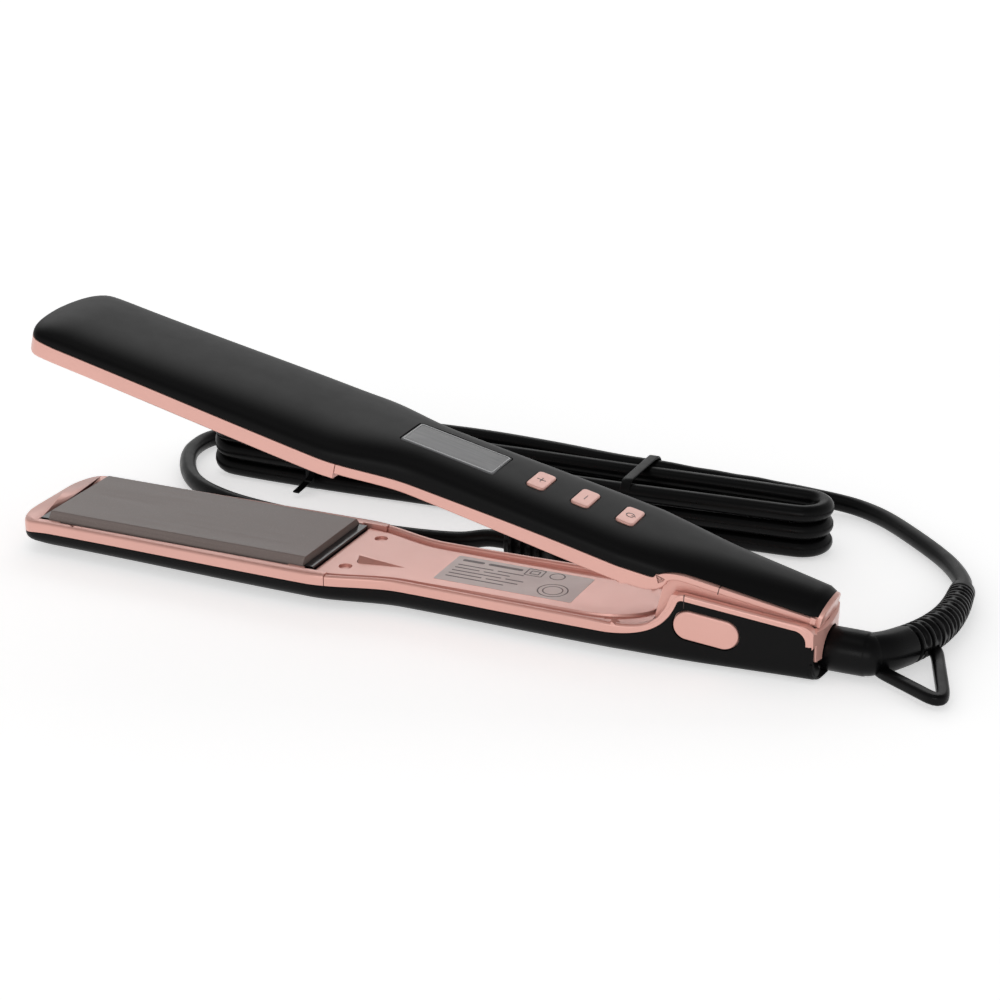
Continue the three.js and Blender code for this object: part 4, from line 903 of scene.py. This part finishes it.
def lower_end_wall():
    """The black foot below the cord, closing the rear end of the lower shell."""
    top = REAR_WALL_Z
    section = [(y, z) for y, z in crown_section(33.0, False, 12.95, 0.15) if z < top]
    outline = [(section[0][0], top)] + section + [(section[-1][0], top)]
    rings = [[(rear_bow(x, y, False), y * k, max(z, 0.25)) for y, z in outline]
             for x, k in ((32.0, 1.0), (33.3, 1.0), (33.5, 0.985))]
    wall = loft("lower_end_wall", rings, 40)
    cut(wall, stub_cutter(STUB_FRONT_X - 3))
    shade(wall, 40)
    dress(wall, "soft_touch_black", "lower_arm")


def joint_line(name, upper, side, x, depth, low, high):
    """A thin dark line across a rose band at x, as tall as the band."""
    outer = side * (half_width(x, upper) + 0.17)
    inner = outer - side * depth
    section = ((x - 0.13, low), (x + 0.13, low), (x + 0.13, high), (x - 0.13, high))
    rings = [[(px, y, pz) for px, pz in section] for y in (inner, outer)]
    line = loft(name, rings, place=placing(upper))
    dress(line, "rose_gold_lacquer", "upper_arm" if upper else "lower_arm", material="recess")


def parting_marks():
    """Thin dark joint lines across the rose bands near the hinge."""
    for side, name in SIDES:
        joint_line(f"lower_rim_{name}_joint", False, side, -7.2, 2.4, 20.4, 24.75)
        joint_line(f"upper_rim_{name}_joint", True, side, 0.2, 2.0, 26.4, 28.9)


# -------- window and buttons

def cap_outline(clearance):
    """The oval hinge cap in side view, tilted like the rim above it."""
    half_x = CAP_HALF[0] + clearance
    half_z = CAP_HALF[1] + clearance
    out = []
    for x, z in rounded_rectangle(half_x, half_z, half_z - 0.01, 14):
        out.append((x * math.cos(CAP_TILT) + z * math.sin(CAP_TILT),
                    HINGE_Z - x * math.sin(CAP_TILT) + z * math.cos(CAP_TILT)))
    return out


def window_and_button_outlines(clearance):
    outlines = [(WINDOW_MID_X, WINDOW_HALF, 1.0)]
    outlines += [(centre, BUTTON_HALF, BUTTON_CORNER) for centre in BUTTON_XS]
    for centre, (half_x, half_y), radius in outlines:
        outline = rounded_rectangle(half_x + clearance, half_y + clearance, radius + clearance)
        yield [(x + centre, y) for x, y in outline]


def on_crown(x, y, lift):
    """The point of the upper shell's crown above (x, y), lifted and swung open."""
    return swing((x, y, CONTACT_Z + crown_height(x, y, True) + lift))


def crown_pad(name, centre, half, radius, rise, depth, rim, steps=9):
    """A pad that follows the crown of the upper shell, with a rounded edge of the given rim width."""
    levels = [(0.0, -depth), (0.0, rise - rim)]
    for i in range(1, 5):
        angle = math.pi / 2 * i / 4
        levels.append((rim * (1 - math.cos(angle)), rise - rim + rim * math.sin(angle)))
    for k in range(1, steps + 1):
        levels.append((mix(rim, min(half) - 0.02, k / steps), rise))
    rings = []
    for inset, lift in levels:
        hx, hy = half[0] - inset, half[1] - inset
        corner = max(min(radius - inset, hx, hy) * 0.98, 0.01)
        rings.append([on_crown(x + centre, y, lift) for x, y in rounded_rectangle(hx, hy, corner, 6)])
    return loft(name, rings, 40)


def display_window():
    lens = crown_pad("display_window_lens", WINDOW_MID_X, WINDOW_HALF, 1.0, 0.1, 1.6, 0.45)
    dress(lens, "clear_lens", "upper_arm", "display_window")
    border = rounded_rectangle(WINDOW_HALF[0] - 0.75, WINDOW_HALF[1] - 0.75, 0.8, 8)
    path = [on_crown(x + WINDOW_MID_X, y, 0.12) for x, y in border]
    line = strand("display_window_border", path, circle(0.16, 8), closed=True)
    dress(line, "clear_lens", "upper_arm", material="mark_white")


def symbol_strokes(kind):
    """Centre lines of the pressed-in marks, as lists of (x, y) round the middle of a button."""
    if kind == "plus":
        return [[(-1.5, 0), (1.5, 0)], [(0, -1.5), (0, 1.5)]]
    if kind == "minus":
        return [[(0, -1.5), (0, 1.5)]]
    turn = np.linspace(math.radians(35), math.radians(325), 22)
    return [[(1.35 * math.cos(a), 1.35 * math.sin(a)) for a in turn], [(0.3, 0), (1.75, 0)]]


def push_buttons():
    line = [(u, v * 0.4) for u, v in circle(0.17, 8)]
    for kind, centre in zip(("plus", "minus", "power"), BUTTON_XS):
        body = f"button_{kind}"
        pad = crown_pad(f"{body}_cap", centre, BUTTON_HALF, BUTTON_CORNER, 0.55, 2.6, 0.4)
        dress(pad, "rose_gold_lacquer", body, body)
        for k, stroke in enumerate(symbol_strokes(kind)):
            path = [on_crown(x + centre, y, 0.57) for x, y in resample(stroke, max(6, len(stroke)))]
            mark = strand(f"{body}_mark_{k}", path, line)
            dress(mark, "rose_gold_lacquer", body, material="print_grey")


# -------- hinge caps

def hinge_caps():
    """Oval caps, slightly domed, flush with the flanks of the lower tail."""
    dome = [(0, -1.4), (0, -0.1), (0.12, 0.12), (0.35, 0.25), (0.7, 0.3), (1.6, 0.34), (2.8, 0.37),
            (3.8, 0.38), (4.6, 0.38)]
    for side, name in SIDES:
        rings = []
        for inset, lift in dome:
            rings.append([(x, side * (half_width(x, False) + lift), z) for x, z in cap_outline(-inset)])
        cap = loft(f"hinge_cap_{name}_oval", rings, 40)
        dress(cap, "rose_gold_lacquer", "lower_arm", f"hinge_cap_{name}")


# -------- cord, guard, ties and plug

def hank_point(x, across, level):
    return (x, HANK_NEAR_Y + HANK_SKEW * x + 2 * HANK_BEND * across, CORD_Z + HANK_RISE * level)


def hank_path():
    """Three flat turns of cord, each ramping up to the next at the front bend."""
    steps = 8
    points = []
    for turn in range(HANK_TURNS):
        for i in range(steps + 1):
            angle = math.pi * i / steps
            x = HANK_REAR_X + HANK_BEND * math.sin(angle)
            points.append(hank_point(x, (1 + math.cos(angle)) / 2, turn))
        for i in range(steps + 1):
            angle = math.pi * i / steps
            x = HANK_FRONT_X - HANK_BEND * math.sin(angle)
            level = turn + smoothstep(i, 0, steps) if turn + 1 < HANK_TURNS else turn
            points.append(hank_point(x, (1 - math.cos(angle)) / 2, level))
    return points


def sag(path, amount):
    """A slow, small waviness, as a cord that was bent before never lies quite straight."""
    out = []
    for i, (x, y, z) in enumerate(path):
        wave = math.sin(x * 0.06 + z * 0.9) + 0.6 * math.sin(x * 0.023 + 2.1 * z)
        out.append((x, y + amount * wave, z))
    return np.array(out)


def cords():
    section = circle(CORD_RADIUS, CORD_SIDES)
    whole = spline(PLUG_CORD_POINTS + hank_path() + RETURN_POINTS, 2.2)
    dress(strand("power_cord_round", sag(whole, 0.3), section), "cord_black", "lower_arm", "power_cord")
    lead = strand("cord_lead_round", spline(LEAD_POINTS, 2.2), section)
    dress(lead, "cord_black", "lower_arm", "cord_lead")


def guard_stub():
    """The round stub that leaves the rear wall and ends in the ball of the elbow."""
    stations = [(STUB_FRONT_X, 3.0), (STUB_FRONT_X, 7.0), (STUB_FRONT_X + 0.3, STUB_RADIUS),
                (REAR_X + 5, STUB_RADIUS), (ELBOW_X - 0.6, 7.15), (ELBOW_X - 0.2, 7.1), (ELBOW_X + 0.1, 6.95)]
    for angle in np.linspace(math.radians(4), math.radians(86), 16):
        stations.append((ELBOW_X + ELBOW_RADIUS * math.sin(angle), ELBOW_RADIUS * math.cos(angle)))
    rings = [[(x, y, z + STUB_Z) for y, z in circle(r, 40)] for x, r in stations]
    return loft("cord_guard_stub", rings, 40)


def guard_section(distance, total, sides=36):
    """Outline of the tapering sleeve, with slots that alternate from row to row."""
    base = mix(6.7, 4.4, (distance / total) ** 1.3)
    phase = (distance - RIB_START) / RIB_PITCH
    row = int(math.floor(phase))
    groove = 0.0
    if RIB_START < distance < total - RIB_MARGIN:
        groove = smoothstep(abs(phase - row - 0.5), 0.3, 0.18)
    out = []
    for k in range(sides):
        angle = 2 * math.pi * k / sides
        swell = abs(math.cos(angle + (math.pi / 2 if row % 2 else 0)))
        r = base - RIB_DEPTH * groove * smoothstep(swell, 0.12, 0.3)
        out.append((r * math.cos(angle), r * math.sin(angle)))
    return out


def guard_sleeve():
    path = spline(RELIEF_POINTS, 0.45)
    lengths = np.concatenate([[0], np.cumsum(np.linalg.norm(np.diff(path, axis=0), axis=1))])
    return strand("cord_guard_sleeve", path, lambda i: guard_section(lengths[i], lengths[-1]), angle=60)


def cord_guard():
    pieces = [guard_stub(), guard_sleeve(), hanging_loop()]
    for piece in pieces:
        dress(piece, "cord_black", "cord_swivel")
    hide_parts("cord_guard")


def hanging_loop():
    """A flat rounded triangle that hangs from the kink of the guard."""
    corners = [np.array(c, float) for c in LOOP_CORNERS]
    path = []
    for i, corner in enumerate(corners):
        previous, following = corners[i - 1], corners[(i + 1) % 3]
        start = corner + (previous - corner) * LOOP_ROUNDING
        end = corner + (following - corner) * LOOP_ROUNDING
        for t in np.linspace(0, 1, 9):
            path.append((1 - t) ** 2 * start + 2 * (1 - t) * t * corner + t * t * end)
        reach = following + (corner - following) * LOOP_ROUNDING - end
        path += [end + reach * s for s in np.linspace(0, 1, 10)[1:-1]]
    path = [(x, y, LOOP_Z) for x, y in path]
    return strand("cord_guard_loop", path, rounded_rectangle(2.1, 1.8, 1.2, 4), closed=True)


def band(name, x, near, far, top, tails):
    """A flat tie round the hank, with its free ends."""
    mid_y, mid_z = (near + far) / 2, top / 2 + 0.2
    outline = rounded_rectangle((far - near) / 2 + 0.3, top / 2, 4.2, 8)
    path = [(x, mid_y + y, mid_z + z) for y, z in outline]
    loop = strand(f"{name}_band", path, rounded_rectangle(0.4, 1.8, 0.3, 2), closed=True)
    dress(loop, "cord_black", "lower_arm", name)
    for k, points in enumerate(tails):
        tail = strand(f"{name}_band_end_{k}", spline(points, 1.0), rounded_rectangle(1.3, 0.35, 0.25, 2))
        dress(tail, "cord_black", "lower_arm")


def hank_near_side(x):
    """Just in front of the near side of the hank, where a tie passes."""
    return HANK_NEAR_Y + HANK_SKEW * x - CORD_RADIUS - 0.5


def ties():
    near = hank_near_side(FRONT_TIE_X)
    tails = [[(-186.6, near - 0.4, 4.4), (-186.9, near - 4, 3.4), (-187.4, near - 9, 2.4)],
             [(-184.6, near - 0.4, 8), (-184.3, near - 3, 6.8), (-184, near - 6, 6.2)]]
    band("cord_tie_front", FRONT_TIE_X, near, 101.6, 21.2, tails)
    band("cord_tie_rear", REAR_TIE_X, hank_near_side(REAR_TIE_X), 106, 20.6, [])


def squarish(half_y, half_z, sides=40, power=0.7):
    """An oval with flattened sides, centred on the plug."""
    out = []
    for k in range(sides):
        c, s = math.cos(2 * math.pi * k / sides), math.sin(2 * math.pi * k / sides)
        y = half_y * math.copysign(abs(c) ** power, c)
        z = half_z * math.copysign(abs(s) ** power, s)
        out.append((PLUG_Y + y, PLUG_Z + z))
    return out


def plug():
    rings = [[(x, y, z) for y, z in squarish(half_y, half_z)] for x, half_y, half_z in PLUG_STATIONS]
    dress(loft("plug_grip", rings, 40), "cord_black", "lower_arm", "plug_body")
    for i in range(4):
        x = PLUG_RIB_X + PLUG_RIB_PITCH * i
        rings = [[(x + d, PLUG_Y + y, PLUG_Z + z) for y, z in circle(r, 32)] for d, r in PLUG_RIB]
        dress(loft(f"plug_rib_{i}", rings, 40), "cord_black", "lower_arm")


# -------- stage

def stage():
    size = 4000.0
    corners = [(-size, -size, 0), (size, -size, 0), (size, size, 0), (-size, size, 0)]
    floor = make_mesh("floor", corners, [(0, 1, 2, 3)])
    n = Nodes("floor")
    n.set(Roughness=0.9, Specular_IOR_Level=0.1, Emission_Color=(1, 1, 1), Emission_Strength=0.5)
    n.set(Base_Color=n.colours(n.noise(3, 2), (0.93, 0.93, 0.93), (0.95, 0.95, 0.95)))
    floor.data.materials.append(n.material)


def area_light(name, location, target, size, power):
    light = bpy.data.lights.new(name, "AREA")
    light.shape = "RECTANGLE"
    light.size, light.size_y = size
    light.energy = power
    obj = bpy.data.objects.new(name, light)
    bpy.context.scene.collection.objects.link(obj)
    obj.location = location
    direction = Vector(target) - Vector(location)
    obj.rotation_euler = direction.to_track_quat("-Z", "Y").to_euler()


def studio_world():
    """White surroundings, brightest at the horizon."""
    world = bpy.data.worlds.new("studio")
    world.use_nodes = True
    tree = world.node_tree
    background = tree.nodes["Background"]
    background.inputs["Color"].default_value = (1, 1, 1, 1)
    split = tree.nodes.new("ShaderNodeSeparateXYZ")
    tree.links.new(tree.nodes.new("ShaderNodeTexCoord").outputs["Generated"], split.inputs["Vector"])
    fade = tree.nodes.new("ShaderNodeMapRange")
    fade.inputs["From Min"].default_value = 0.1
    fade.inputs["From Max"].default_value = 0.9
    fade.inputs["To Min"].default_value = 0.80
    fade.inputs["To Max"].default_value = 0.26
    tree.links.new(split.outputs["Z"], fade.inputs["Value"])
    tree.links.new(fade.outputs["Result"], background.inputs["Strength"])
    bpy.context.scene.world = world


def lights():
    studio_world()
    area_light("back", (-0.6, 1.15, 0.75), (-0.15, 0.0, 0), (1.2, 0.5), 2.2)
    area_light("top", (-0.25, -0.2, 1.3), (-0.1, 0.0, 0), (1.0, 0.5), 0.7)
    area_light("front", (0.1, -1.5, 0.5), (-0.1, 0.0, 0), (1.2, 0.5), 4.0)
    settings = bpy.context.scene.view_settings
    settings.view_transform = "Standard"
    settings.look = "None"


def camera():
    data = bpy.data.cameras.new("camera")
    data.sensor_width = 36
    data.lens = FOCAL_LENGTH
    data.clip_start = 0.01
    obj = bpy.data.objects.new("camera", data)
    bpy.context.scene.collection.objects.link(obj)
    c, s = math.cos(CAMERA_TURN), math.sin(CAMERA_TURN)
    right = Vector((c, -s, 0))
    up = Vector((s * math.sin(CAMERA_TILT), c * math.sin(CAMERA_TILT), math.cos(CAMERA_TILT)))
    back = right.cross(up)
    rotation = Matrix((right, up, back)).transposed().to_4x4()
    obj.matrix_world = Matrix.Translation(CAMERA_PLACE) @ rotation
    bpy.context.scene.camera = obj


dress_cad_nodes()
upper_shell()
lower_shell()
display_window()
push_buttons()
hinge_caps()
front_frame(False)
front_frame(True)
lower_rim()
upper_rim()
handle_deck()
deck_floor()
plate_skirts()
pointer_wedge()
label()
upper_end_plate()
lower_end_wall()
parting_marks()
cords()
cord_guard()
ties()
plug()
stage()
lights()
camera()
